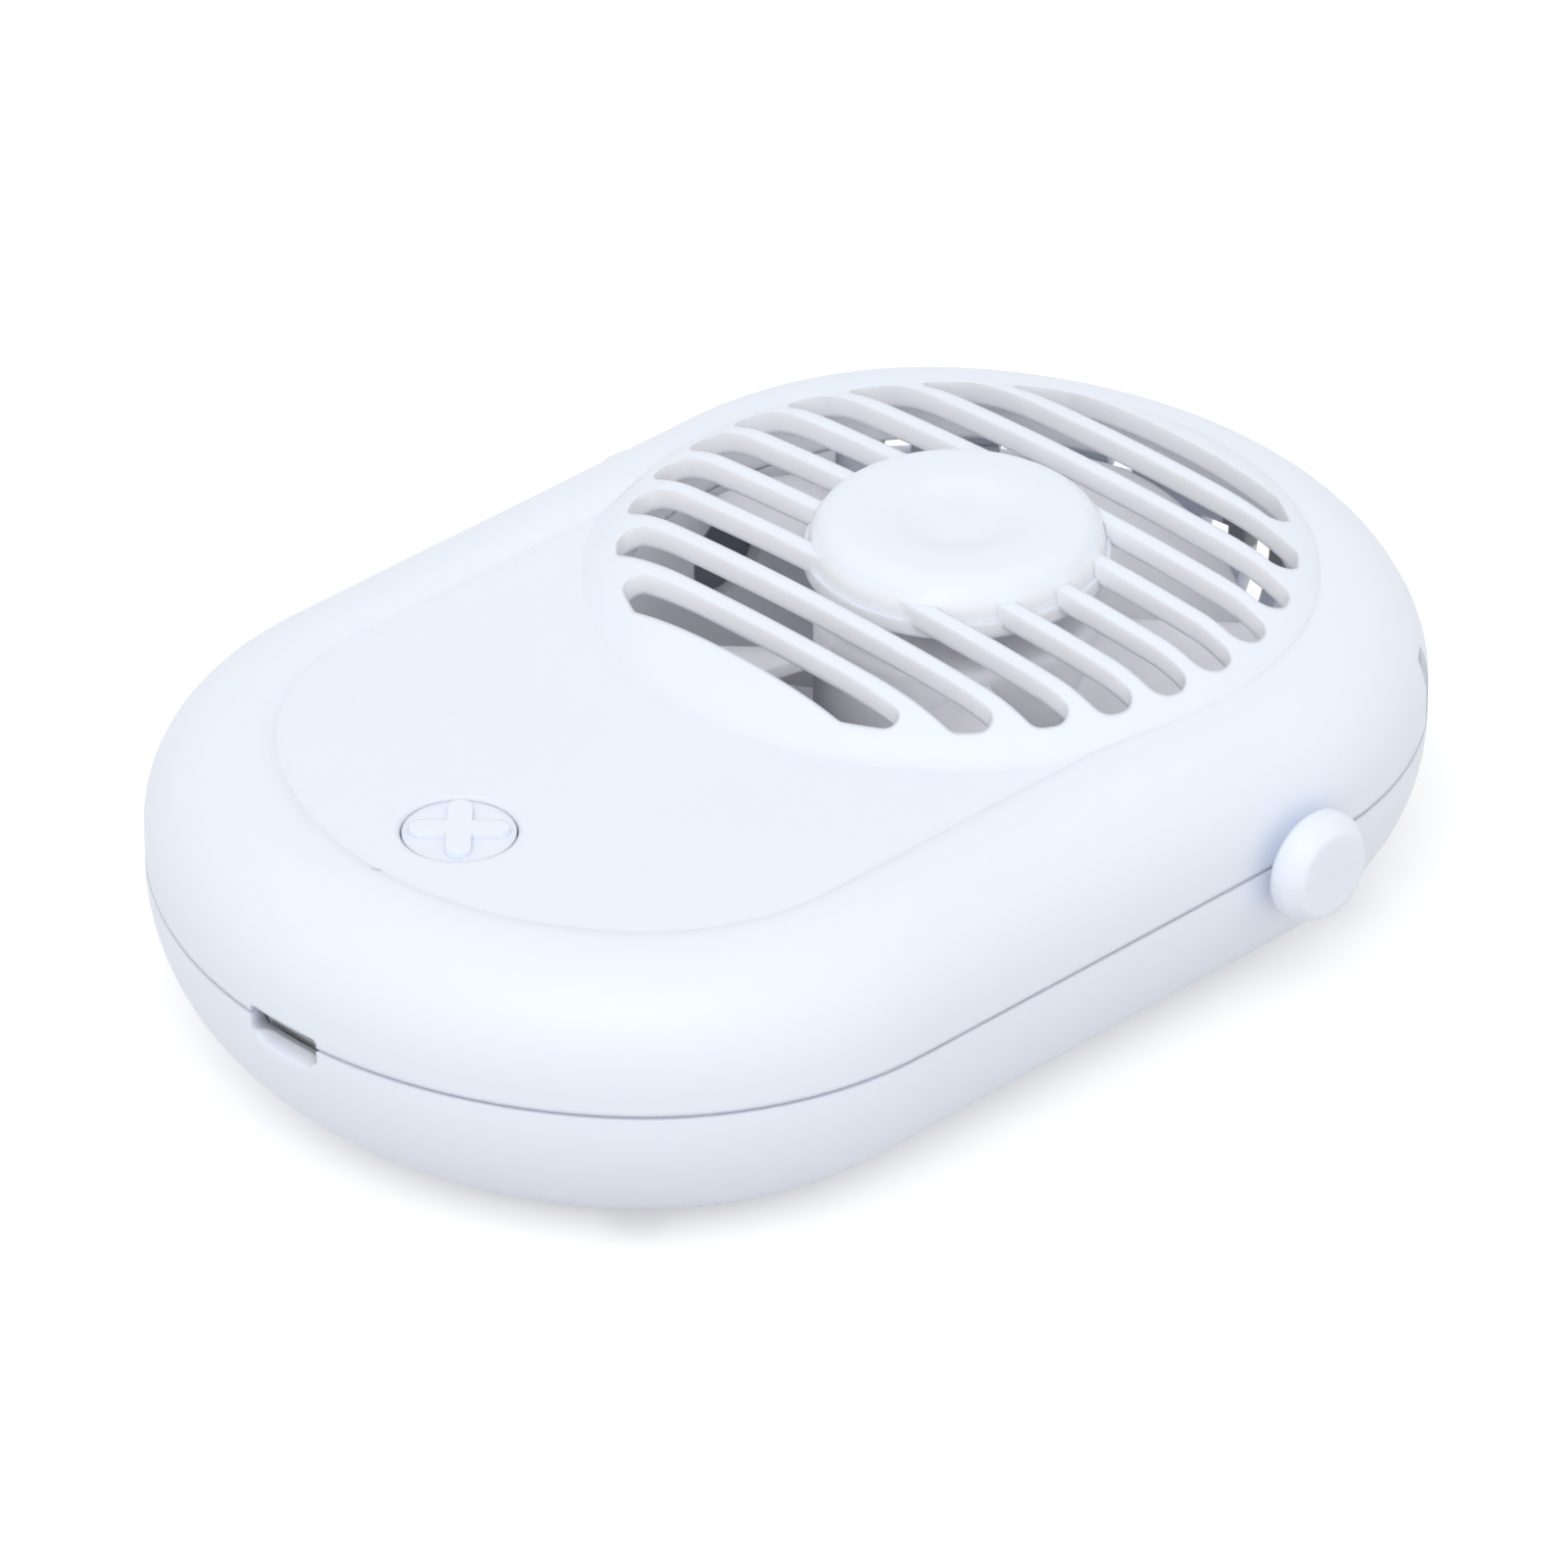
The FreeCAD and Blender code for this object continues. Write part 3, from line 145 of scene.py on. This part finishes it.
def moulded_white(name, colour, edge, satin=shell_satin, depth=0.0012, painted_light_zone=None, walls_only=False, painted_port_shade=None,
                  mould_line=None):
    """White moulded plastic with spark-eroded grain, faint flow shading and rubbed edges.

    Light sinks into it by about the given depth, so that thin walls glow and gaps stay soft.
    A given axis' x, radius and height mark a zone inside that circle and above that height, all over or on
    its steep walls only, which is painted a paler, less blue colour as painted light.
    A given inner x, outer x, half width and height mark a port's mouth, which gets a grey painted shade.
    Where mould_line gives a height, the fine witness of the mould's parting runs round the piece there.
    """
    flow_dull = 0.985
    flow_rough = 0.1
    grain_rough = 0.08
    rub_turn = 0.25
    rub_share = 0.5
    rub_pale = 1.03
    rub_smooth = 0.08
    material, base = shade(name)
    place = base.node("TexCoord", out="Object")
    along_x, along_y, along_z = (base.node("SeparateXYZ", {}, {"Vector": place}, out=axis) for axis in "XYZ")
    flow = base.node("TexNoise", {}, {"Vector": place, "Scale": 28.0, "Detail": 2.0})
    grain = base.node("TexNoise", {}, {"Vector": place, "Scale": 6500.0, "Detail": 2.0, "Roughness": 0.6})
    soft = base.node("Bevel", {"samples": 4}, {"Radius": edge})
    flat = base.node("NewGeometry", out="Normal")
    along = base.node("VectorMath", {"operation": "DOT_PRODUCT"}, {0: soft, 1: flat}, out="Value")
    rubbed = (1 - along).spread(0.0, rub_turn)
    skin = flow.spread(low=0.3, high=0.7).mix(tone(colour, flow_dull), tone(colour))
    # Painted light: a paler, less blue colour inside the given circle and above the given height.
    if painted_light_zone:
        fade = 0.0002
        steep_start = 0.6
        steep_full = 0.3
        painted_light_dull = 0.94
        painted_light_pale = 1.05
        axis_x, radius, height = painted_light_zone
        level = base.node("VectorMath", {"operation": "MULTIPLY"}, {0: place, 1: (1.0, 1.0, 0.0)})
        span = base.node("VectorMath", {"operation": "DISTANCE"}, {0: level, 1: (axis_x, 0.0, 0.0)},
                         out="Value")
        within = span.spread(radius, radius - fade) * along_z.spread(height - fade, height)
        if walls_only:
            facing = base.node("SeparateXYZ", {}, {"Vector": flat}, out="Z")
            within = within * facing.spread(steep_start, steep_full)
        painted_light_skin = flow.spread(low=0.2, high=0.8).mix(tone(painted_light_white, painted_light_dull), tone(painted_light_white, painted_light_pale))
        skin = within.mix(skin, painted_light_skin)
    # Painted shade: the port's mouth turns grey, deepest towards its inner end.
    if painted_port_shade:
        side_fade = 0.0001
        floor_fade = 0.0003
        port_shade_least = 0.75
        inner_x, outer_x, half_width, height = painted_port_shade
        aside = base.math("ABSOLUTE", along_y).spread(half_width + side_fade, half_width)
        port_shaded = along_x.spread(outer_x, inner_x) * aside * along_z.spread(height - floor_fade, height)
        skin = (port_shaded * (port_shade_least + (1 - port_shade_least) * flow)).mix(skin, tone(port_shade_grey))
    rise = grain
    if mould_line:
        line_edge = 0.00012
        line_core = 0.00003
        line_dull = 0.95
        line_sink = 2.0
        witness = base.math("ABSOLUTE", along_z - mould_line).spread(line_edge, line_core)
        skin = witness.mix(skin, tone(colour, line_dull))
        rise = grain - line_sink * witness
    surface(base, Base_Color=(rubbed * rub_share).mix(skin, tone(colour, rub_pale)),
            Roughness=satin + flow_rough * flow + grain_rough * grain - rub_smooth * rubbed,
            Normal=relief(base, rise, strength=0.12, depth=0.00004, normal=soft), IOR=1.5,
            Subsurface_Weight=0.5, Subsurface_Scale=depth, Subsurface_Radius=(1.0, 0.9, 0.85))
    return material


# The rear shell gets painted light inside the duct and painted shade in the charging port's mouth.
dress(moulded_white("shell_white", shell_white, edge=0.0003, painted_light_zone=(duct_axis_x, duct_outer, duct_floor),
                    painted_port_shade=(port_inner_x, port_outer_x, port_half_width, port_low_z)), "rear_shell")

# Bearing tube, bush and thrust pad
# Turned brass tube pressed in the rear shell's pedestal, with a porous bronze bush and a plain plastic pad.
# The tube keeps fine turning rings, and the bush the dark pores of sintered metal.
brass_bright = (0.72, 0.55, 0.28)
brass_tarnished = (0.55, 0.4, 0.2)
brass_satin = 0.22
ring_rough = 0.12
tarnish_rough = 0.1
material, base = shade("turned_brass")
place = base.node("TexCoord", out="Object")
rings = base.node("TexWave", {"bands_direction": "Z"}, {"Vector": place, "Scale": 1600.0, "Distortion": 0.6})
tarnish = base.node("TexNoise", {}, {"Vector": place, "Scale": 400.0, "Detail": 4.0})
surface(base, Base_Color=tarnish.mix(tone(brass_bright), tone(brass_tarnished)), Metallic=1.0,
        Roughness=brass_satin + ring_rough * rings + tarnish_rough * tarnish,
        Normal=relief(base, rings, strength=0.2, depth=0.00001))
dress(material, "bearing_tube")
bronze_pore = (0.16, 0.1, 0.06)
bronze_face = (0.5, 0.33, 0.18)
pore_rough = 0.6
face_smooth = 0.2
material, base = shade("sintered_bronze")
place = base.node("TexCoord", out="Object")
pores = base.node("TexVoronoi", {}, {"Vector": place, "Scale": 9000.0}).spread(low=0.15, high=0.45)
surface(base, Base_Color=pores.mix(tone(bronze_pore), tone(bronze_face)), Metallic=1.0,
        Roughness=pore_rough - face_smooth * pores, Normal=relief(base, pores, strength=0.4, depth=0.00002))
dress(material, "bearing_bush")


def plain_plastic(name, colour, satin, speck):
    """Unpainted plastic with a matt mould skin: speck is the size of its grain."""
    cloud_dull = 0.86
    cloud_pale = 1.08
    grain_rough = 0.15
    material, base = shade(name)
    place = base.node("TexCoord", out="Object")
    grain = base.node("TexNoise", {}, {"Vector": place, "Scale": 1 / speck, "Detail": 3.0})
    cloud = base.node("TexNoise", {}, {"Vector": place, "Scale": 220.0, "Detail": 2.0})
    surface(base, Base_Color=cloud.mix(tone(colour, cloud_dull), tone(colour, cloud_pale)),
            Roughness=satin + grain_rough * grain, Normal=relief(base, grain, strength=0.2, depth=0.00002))
    return material


dress(plain_plastic("thrust_plastic", colour=(0.7, 0.7, 0.66), satin=0.35, speck=0.0002), "thrust_pad")

# Motor board and stator
# Round driver board on the pedestal, a core of stacked steel sheets and four windings of enamelled wire.
# The sheets show as fine level lines, and the wire as close turns.
mask_green = (0.03, 0.16, 0.08)
track_green = (0.06, 0.27, 0.13)
pad_tin = (0.62, 0.6, 0.55)


def solder_mask(name, pitch):
    """Green board: copper tracks show through the mask as paler lines, with round tinned pads."""
    rows_per_pad = 3
    tracks_per_row = 7
    mask_satin = 0.3
    weave_rough = 0.1
    mask_gloss = 0.4
    pad_metal = 0.9
    material, base = shade(name)
    place = base.node("TexCoord", out="Object")
    tracks = base.node("TexBrick", {"offset": 0.37}, {
        "Vector": place, "Scale": 1.0, "Row Height": pitch, "Brick Width": rows_per_pad * pitch,
        "Mortar Size": pitch / tracks_per_row,
    }, out="Fac")
    dots = base.node("TexVoronoi", {}, {"Vector": place, "Scale": 1 / (rows_per_pad * pitch)})
    pads = dots.spread(low=0.16, high=0.12)
    weave = base.node("TexNoise", {}, {"Vector": place, "Scale": 3000.0})
    mask = tracks.mix(tone(mask_green), tone(track_green))
    surface(base, Base_Color=pads.mix(mask, tone(pad_tin)), Metallic=pads * pad_metal,
            Roughness=mask_satin + weave_rough * weave, Coat_Weight=mask_gloss - mask_gloss * pads,
            Normal=relief(base, tracks + pads, strength=0.3, depth=0.00004))
    return material


dress(solder_mask("motor_board_green", pitch=0.0009), "motor_board")


def worked_metal(name, colour, rough, pitch, axis, depth):
    """Bare or plated metal with fine parallel marks along an axis."""
    wave_length = 0.314
    blush_dull = 0.82
    blush_pale = 1.08
    line_rough = 0.12
    blush_rough = 0.08
    material, base = shade(name)
    place = base.node("TexCoord", out="Object")
    lines = base.node("TexWave", {"bands_direction": axis}, {
        "Vector": place, "Scale": wave_length / pitch, "Distortion": 1.2, "Detail": 2.0, "Detail Scale": 0.7,
    })
    blush = base.node("TexNoise", {}, {"Vector": place, "Scale": 260.0, "Detail": 3.0})
    surface(base, Base_Color=blush.mix(tone(colour, blush_dull), tone(colour, blush_pale)), Metallic=1.0,
            Roughness=rough + line_rough * lines + blush_rough * blush,
            Normal=relief(base, lines, strength=0.3, depth=depth))
    return material


dress(worked_metal("core_laminations", colour=(0.42, 0.42, 0.43), rough=0.34, pitch=0.0005, axis="Z",
                   depth=0.00004), "stator_core")
wire_groove = (0.3, 0.1, 0.04)
wire_crest = (0.68, 0.3, 0.13)
groove_rough = 0.4
crest_smooth = 0.15
material, base = shade("enamelled_wire")
place = base.node("TexCoord", out="Object")
turns = base.node("TexWave", {"bands_direction": "DIAGONAL", "wave_profile": "SIN"}, {
    "Vector": place, "Scale": 900.0, "Distortion": 0.5,
})
surface(base, Base_Color=turns.mix(tone(wire_groove), tone(wire_crest)), Metallic=0.85,
        Roughness=groove_rough - crest_smooth * turns, Coat_Weight=0.5,
        Normal=relief(base, turns, strength=0.7, depth=0.0001))
dress(material, "stator_coils")


# Motor and cell leads
# Thin stranded wires in soft jackets, red for the cell and black for the motor.
# The jackets have a faint waviness from extrusion and a dull waxy shine.
def wire_jacket(name, colour):
    """Soft plastic jacket of a thin wire."""
    wave_dull = 0.8
    wave_pale = 1.15
    jacket_satin = 0.38
    wave_rough = 0.14
    material, base = shade(name)
    place = base.node("TexCoord", out="Object")
    wave = base.node("TexNoise", {}, {"Vector": place, "Scale": 700.0, "Detail": 2.0})
    surface(base, Base_Color=wave.mix(tone(colour, wave_dull), tone(colour, wave_pale)),
            Roughness=jacket_satin + wave_rough * wave,
            Normal=relief(base, wave, strength=0.3, depth=0.00004))
    return material


dress(wire_jacket("lead_black", colour=(0.04, 0.04, 0.042)), "motor_leads")
dress(wire_jacket("lead_red", colour=(0.45, 0.03, 0.03)), "battery_leads")

# Shaft, clip, magnet and yoke
# Ground steel shaft with a spring clip, a black bonded magnet ring and the pressed, plated cup round it.
# They turn together with the impeller.
dress(worked_metal("ground_steel", colour=(0.6, 0.6, 0.61), rough=0.16, pitch=0.00012, axis="Z",
                   depth=0.000004), "motor_shaft", "shaft_clip")
dress(worked_metal("plated_yoke", colour=(0.52, 0.52, 0.53), rough=0.3, pitch=0.0003, axis="Z",
                   depth=0.00001), "rotor_yoke")
dress(plain_plastic("bonded_ferrite", colour=(0.07, 0.07, 0.075), satin=0.5, speck=0.00012), "ring_magnet")

# Impeller
# Hub and five broad twisted blades in one moulding, of a milkier white plastic with a duller skin.
# It is pressed on the shaft and over the yoke.
impeller_white = (0.94, 0.935, 0.985)
dress(moulded_white("impeller_white", impeller_white, edge=0.00025, satin=0.44, depth=0.004), "impeller")

# Cell, its foam pads and its tabs
# Steel can in a blue shrink sleeve, held down by two blocks of dark foam, with nickel strips welded on.
# The sleeve has faint shrink ripples, and the foam its open cells.
sleeve_dark = (0.1, 0.21, 0.36)
sleeve_pale = (0.13, 0.27, 0.45)
sleeve_satin = 0.26
ripple_rough = 0.08
material, base = shade("shrink_sleeve")
place = base.node("TexCoord", out="Object")
ripple = base.node("TexWave", {"bands_direction": "Y"}, {
    "Vector": place, "Scale": 90.0, "Distortion": 6.0, "Detail": 2.0,
})
surface(base, Base_Color=ripple.mix(tone(sleeve_dark), tone(sleeve_pale)),
        Roughness=sleeve_satin + ripple_rough * ripple,
        Normal=relief(base, ripple, strength=0.25, depth=0.0001))
dress(material, "battery_cell")
foam_wall = (0.11, 0.11, 0.11)
foam_hollow = (0.03, 0.03, 0.03)
foam_rough = 0.95
hollow_smooth = 0.1
material, base = shade("pad_foam")
place = base.node("TexCoord", out="Object")
walls = base.node("TexVoronoi", {"feature": "DISTANCE_TO_EDGE"}, {"Vector": place, "Scale": 2200.0})
hollows = walls.spread(low=0.0, high=0.2)
surface(base, Base_Color=hollows.mix(tone(foam_wall), tone(foam_hollow)),
        Roughness=foam_rough - hollow_smooth * hollows,
        Normal=relief(base, 1 - hollows, strength=0.8, depth=0.00015))
dress(material, "cell_pads")
dress(worked_metal("nickel_strip", colour=(0.66, 0.64, 0.58), rough=0.3, pitch=0.00025, axis="X",
                   depth=0.000008), "battery_tabs")

# Charging board, its parts, the light and the push switch
# Green board on four posts, with two chips, a choke, a clear lamp under the pinhole and a push switch.
# The chips and the switch are black moulded resin, and the plunger cream.
dress(solder_mask("main_board_green", pitch=0.0012), "main_board")
dress(plain_plastic("chip_black", colour=(0.04, 0.04, 0.045), satin=0.5, speck=0.00015), "board_components")
dress(plain_plastic("switch_black", colour=(0.03, 0.03, 0.03), satin=0.45, speck=0.0002), "switch_body")
dress(plain_plastic("plunger_cream", colour=(0.75, 0.72, 0.62), satin=0.35, speck=0.0002), "switch_plunger")
resin_blue = (0.74, 0.82, 0.9)
resin_pale = (0.86, 0.9, 0.94)
resin_satin = 0.06
haze_rough = 0.12
material, base = shade("lamp_resin")
place = base.node("TexCoord", out="Object")
haze = base.node("TexNoise", {}, {"Vector": place, "Scale": 900.0, "Detail": 3.0})
surface(base, Base_Color=haze.mix(tone(resin_blue), tone(resin_pale)),
        Roughness=resin_satin + haze_rough * haze, Transmission_Weight=0.8, IOR=1.52)
dress(material, "status_light")

# Charging socket
# Folded plated-steel shell soldered on the board's edge, with a black tongue inside.
# Five flat gold contacts lie under the tongue, and the mouth is flared behind the port to guide a plug.
socket_steel = worked_metal("socket_steel", colour=(0.62, 0.62, 0.63), rough=0.24, pitch=0.0002, axis="X",
                            depth=0.000006)
dress(socket_steel, "usb_socket")
dress(plain_plastic("tongue_black", colour=(0.04, 0.04, 0.04), satin=0.4, speck=0.0002), "usb_tongue")
contact_gold = worked_metal("contact_gold", colour=(0.83, 0.62, 0.25), rough=0.2, pitch=0.0001, axis="X",
                            depth=0.000003)
contact_count = 5
contact_pitch = 0.00065
contact_width = 0.0004
contact_sheet = 0.00006
contact_round = 0.000015
contact_share = 0.9
tongue_low, tongue_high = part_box("usb_tongue")
contact_reach = (tongue_high.x - tongue_low.x) * contact_share
contacts = bmesh.new()
for i in range(contact_count):
    strip = bmesh.ops.create_cube(contacts, size=1.0)["verts"]
    middle = Vector((tongue_low.x + contact_reach / 2, (i - (contact_count - 1) / 2) * contact_pitch,
                     tongue_low.z - contact_sheet / 2))
    bmesh.ops.scale(contacts, verts=strip, vec=(contact_reach, contact_width, contact_sheet))
    bmesh.ops.translate(contacts, verts=strip, vec=middle)
bmesh.ops.bevel(contacts, geom=contacts.edges[:], offset=contact_round, segments=2, profile=0.5,
                affect="EDGES", material=-1)


def piece(name, shape, body, material):
    """Object made from a finished bmesh, riding on a body."""
    mesh = bpy.data.meshes.new(name)
    shape.to_mesh(mesh)
    shape.free()
    mesh.materials.append(material)
    made = bpy.data.objects.new(name, mesh)
    bpy.context.scene.collection.objects.link(made)
    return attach(made, body)


piece("socket_contacts", contacts, "housing", contact_gold)
flare_reach = 0.00028
flare_spread = 0.0001
flare_sheet = 0.00012
flare_corner = 0.0007
socket_low, socket_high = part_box("usb_socket")
mouth = socket_high - socket_low
flare = bmesh.new()
bmesh.ops.create_grid(flare, x_segments=1, y_segments=1, size=0.5)
bmesh.ops.scale(flare, verts=flare.verts[:], vec=(mouth.y, mouth.z, 1.0))
bmesh.ops.bevel(flare, geom=flare.verts[:], offset=flare_corner, segments=4, profile=0.5, affect="VERTICES",
                material=-1)
bmesh.ops.delete(flare, geom=flare.faces[:], context="FACES_ONLY")
lip = [item for item in bmesh.ops.extrude_edge_only(flare, edges=flare.edges[:])["geom"]
       if isinstance(item, bmesh.types.BMVert)]
bmesh.ops.scale(flare, verts=lip, vec=(1 + 2 * flare_spread / mouth.y, 1 + 2 * flare_spread / mouth.z, 1.0))
bmesh.ops.translate(flare, verts=lip, vec=(0.0, 0.0, -flare_reach))
outward = Matrix(((0, 0, 1), (1, 0, 0), (0, 1, 0))).to_4x4()
centre = Vector((socket_low.x, 0.0, (socket_low.z + socket_high.z) / 2))
bmesh.ops.transform(flare, matrix=Matrix.Translation(centre) @ outward, verts=flare.verts[:])
bmesh.ops.recalc_face_normals(flare, faces=flare.faces[:])
bmesh.ops.solidify(flare, geom=flare.faces[:], thickness=flare_sheet)
piece("socket_flare", flare, "housing", socket_steel)

# Lanyard posts
# Mushroom pegs of white plastic, one on each long side, trapped between the two shells.
# A fine mould line runs over the head at the parting level.
post_low, post_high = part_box("lanyard_post_left")
dress(moulded_white("post_white", shell_white, edge=0.0006, mould_line=(post_low.z + post_high.z) / 2),
      "lanyard_post_left", "lanyard_post_right")

# Power button
# Round white key with a raised cross, moulded in the shells' plastic with a softer edge all round.
# The switch below springs it back, and a flange under the panel holds it in.
dress(moulded_white("button_white", shell_white, edge=0.00025), "power_button")

# Front shell
# White cover with a rolled rim, a flat panel and the domed slat grille with its dimpled boss.
# It is the same moulding plastic as the rear shell, and the steep walls of its slats get a paler, less blue
# painted light.
grille_foot = 0.0225
# Painted light: the slats' steep walls inside the grille get the paler, less blue colour.
dress(moulded_white("front_white", shell_white, edge=0.0005, painted_light_zone=(duct_axis_x, duct_outer, grille_foot),
                    walls_only=True), "front_shell")

# Case screws
# Four plated pan-head screws driven from the back, each with a cross recess and a coarse thread for plastic.
# The recess tapers inwards, and the thread runs up the shank to its tip.
screw_low, screw_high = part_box("case_screws")
head_low = screw_low.z
shank_end = screw_high.z
screw_seat = 0.006
head_radius = 0.0023
head_face = 0.0016
head_round = 0.0006
head_chamfer = 0.0002
shank_core = 0.001
shank_tip = 0.00025
thread_root = 0.00098
thread_crest = 0.00128
thread_pitch = 0.0011
thread_rise = 0.0004
turn_steps = 24
cross_reach = 0.00115
cross_half = 0.00028
cross_depth = 0.0011
cross_taper = 0.55
touch = 1e-7
fan_screw = (0.0361, 0.03029)
board_screw = (-0.041, 0.0235)


def pan_head_screw():
    """Mesh of a screw on the z axis, head down: turned head and shank, sunk cross and spiral thread."""
    shape = bmesh.new()
    corners = [(head_face, head_low), (head_radius - head_chamfer, head_low + head_chamfer),
               (head_radius, head_low + head_round), (head_radius, screw_seat), (shank_core, screw_seat),
               (shank_core, shank_end - shank_core), (shank_tip, shank_end), (0.0, shank_end)]
    line = [shape.verts.new((radius, 0.0, level)) for radius, level in corners]
    edges = [shape.edges.new(pair) for pair in zip(line, line[1:])]
    bmesh.ops.spin(shape, geom=line + edges, cent=(0, 0, 0), axis=(0, 0, 1), angle=math.tau, steps=turn_steps,
                   use_merge=True)
    bmesh.ops.remove_doubles(shape, verts=shape.verts[:], dist=touch)
    rim = [edge for edge in shape.edges
           if edge.is_boundary and all(abs(vert.co.z - head_low) < touch for vert in edge.verts)]
    star = []
    for quarter in range(4):
        turn = Matrix.Rotation(quarter * math.pi / 2, 4, "Z")
        for x, y in ((cross_half, -cross_half), (cross_reach, -cross_half), (cross_reach, cross_half)):
            star.append(shape.verts.new(turn @ Vector((x, y, head_low))))
    star_edges = [shape.edges.new(pair) for pair in zip(star, star[1:] + star[:1])]
    bmesh.ops.triangle_fill(shape, use_beauty=True, edges=rim + star_edges)
    walls = bmesh.ops.extrude_edge_only(shape, edges=star_edges)["geom"]
    deep = [item for item in walls if isinstance(item, bmesh.types.BMVert)]
    bmesh.ops.scale(shape, verts=deep, vec=(cross_taper, cross_taper, 1.0))
    bmesh.ops.translate(shape, verts=deep, vec=(0, 0, cross_depth))
    bmesh.ops.contextual_create(shape, geom=[edge for edge in walls if isinstance(edge, bmesh.types.BMEdge)])
    start = screw_seat + thread_rise
    turns = int((shank_end - shank_core - start - thread_rise) / thread_pitch)
    profile = ((thread_root, start - thread_rise / 2), (thread_crest, start),
               (thread_root, start + thread_rise / 2))
    ridge = [shape.verts.new((radius, 0.0, level)) for radius, level in profile]
    bmesh.ops.spin(shape, geom=[shape.faces.new(ridge)], cent=(0, 0, 0), axis=(0, 0, 1),
                   dvec=(0, 0, thread_pitch / turn_steps), angle=math.tau * turns, steps=turn_steps * turns)
    bmesh.ops.recalc_face_normals(shape, faces=shape.faces[:])
    made = bpy.data.meshes.new("screw")
    shape.to_mesh(made)
    shape.free()
    return made


screw = pan_head_screw()
screws = bmesh.new()
for x, y in (fan_screw, board_screw):
    for side in (1, -1):
        first = len(screws.verts)
        screws.from_mesh(screw)
        bmesh.ops.translate(screws, verts=screws.verts[first:], vec=(x, side * y, 0.0))
bpy.data.meshes.remove(screw)
screw_zinc = worked_metal("screw_zinc", colour=(0.5, 0.5, 0.5), rough=0.28, pitch=0.0002, axis="Z",
                          depth=0.000006)
screw_set = piece("screw_set", screws, "housing", screw_zinc)
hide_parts("case_screws")

# Floor, light and camera
# White studio: a pale floor that keeps the soft shadow, even light from all round and one wide soft lamp.
# The camera, mirrors and clear resin see floor and room as white, which puts no more light on the object.
floor_size = 6.0
floor_drop = 0.00005
paper_grey = (0.71, 0.71, 0.71)
paper_glow = 0.42
pure_white = (1.0, 1.0, 1.0)
room_light = 0.81


def looked_at(base):
    """1 for what the camera sees, also in a mirror or through clear resin, and 0 for light on its way."""
    seen, mirrored, through = (base.node("LightPath", out=f"Is {kind} Ray")
                               for kind in ("Camera", "Glossy", "Transmission"))
    return base.math("MAXIMUM", seen, base.math("MAXIMUM", mirrored, through))


sheet = bmesh.new()
bmesh.ops.create_grid(sheet, x_segments=1, y_segments=1, size=floor_size / 2)
bmesh.ops.translate(sheet, verts=sheet.verts[:], vec=(0.0, 0.0, -floor_drop))
floor_mesh = bpy.data.meshes.new("floor")
sheet.to_mesh(floor_mesh)
sheet.free()
material, base = shade("floor_white")
paper = base.node("BsdfDiffuse", {}, {"Color": tone(paper_grey)})
glow = base.node("Emission", {}, {"Color": tone(pure_white), "Strength": paper_glow})
bright = base.node("AddShader", {}, {0: paper, 1: glow})
shown = base.node("MixShader", {}, {0: looked_at(base), 1: paper, 2: bright})
base.node("OutputMaterial", {}, {"Surface": shown})
floor_mesh.materials.append(material)
floor = bpy.data.objects.new("floor", floor_mesh)
bpy.context.scene.collection.objects.link(floor)

world = bpy.data.worlds.new("studio")
world.use_nodes = True
world.node_tree.nodes.clear()
bpy.context.scene.world = world
base = Shade(world.node_tree)
room = base.node("Background", {}, {"Color": tone(pure_white), "Strength": room_light})
white = base.node("Background", {}, {"Color": tone(pure_white), "Strength": 1.0})
shown = base.node("MixShader", {}, {0: looked_at(base), 1: room, 2: white})
base.node("OutputWorld", {}, {"Surface": shown})

lamp_place = Vector((-0.88, -0.72, 1.3))
lamp = bpy.data.lights.new("key_lamp", "AREA")
lamp.size = 1.2
lamp.energy = 10.2
key_lamp = bpy.data.objects.new("key_lamp", lamp)
key_lamp.location = lamp_place
key_lamp.rotation_euler = (-lamp_place).to_track_quat("-Z", "Y").to_euler()
bpy.context.scene.collection.objects.link(key_lamp)

azimuth = math.radians(-44.45)
elevation = math.radians(31.95)
distance = 1.2
aim_height = 0.016
aim_right = -0.00064
aim_up = -0.00123
photo_pixels = 1601
focal_pixels = 14280
back = Vector((math.sin(azimuth) * math.cos(elevation), -math.cos(azimuth) * math.cos(elevation),
               math.sin(elevation)))
right = Vector((math.cos(azimuth), math.sin(azimuth), 0.0))
up = back.cross(right)
aim = Vector((0.0, 0.0, aim_height)) + aim_right * right + aim_up * up
lens = bpy.data.cameras.new("camera")
lens.sensor_width = 36.0
lens.lens = focal_pixels / photo_pixels * lens.sensor_width
lens.clip_end = 20.0
camera = bpy.data.objects.new("camera", lens)
facing = Matrix((right, up, back)).transposed().to_4x4()
camera.matrix_world = Matrix.Translation(aim + distance * back) @ facing
bpy.context.scene.collection.objects.link(camera)
bpy.context.scene.camera = camera
bpy.context.scene.view_settings.view_transform = "Standard"
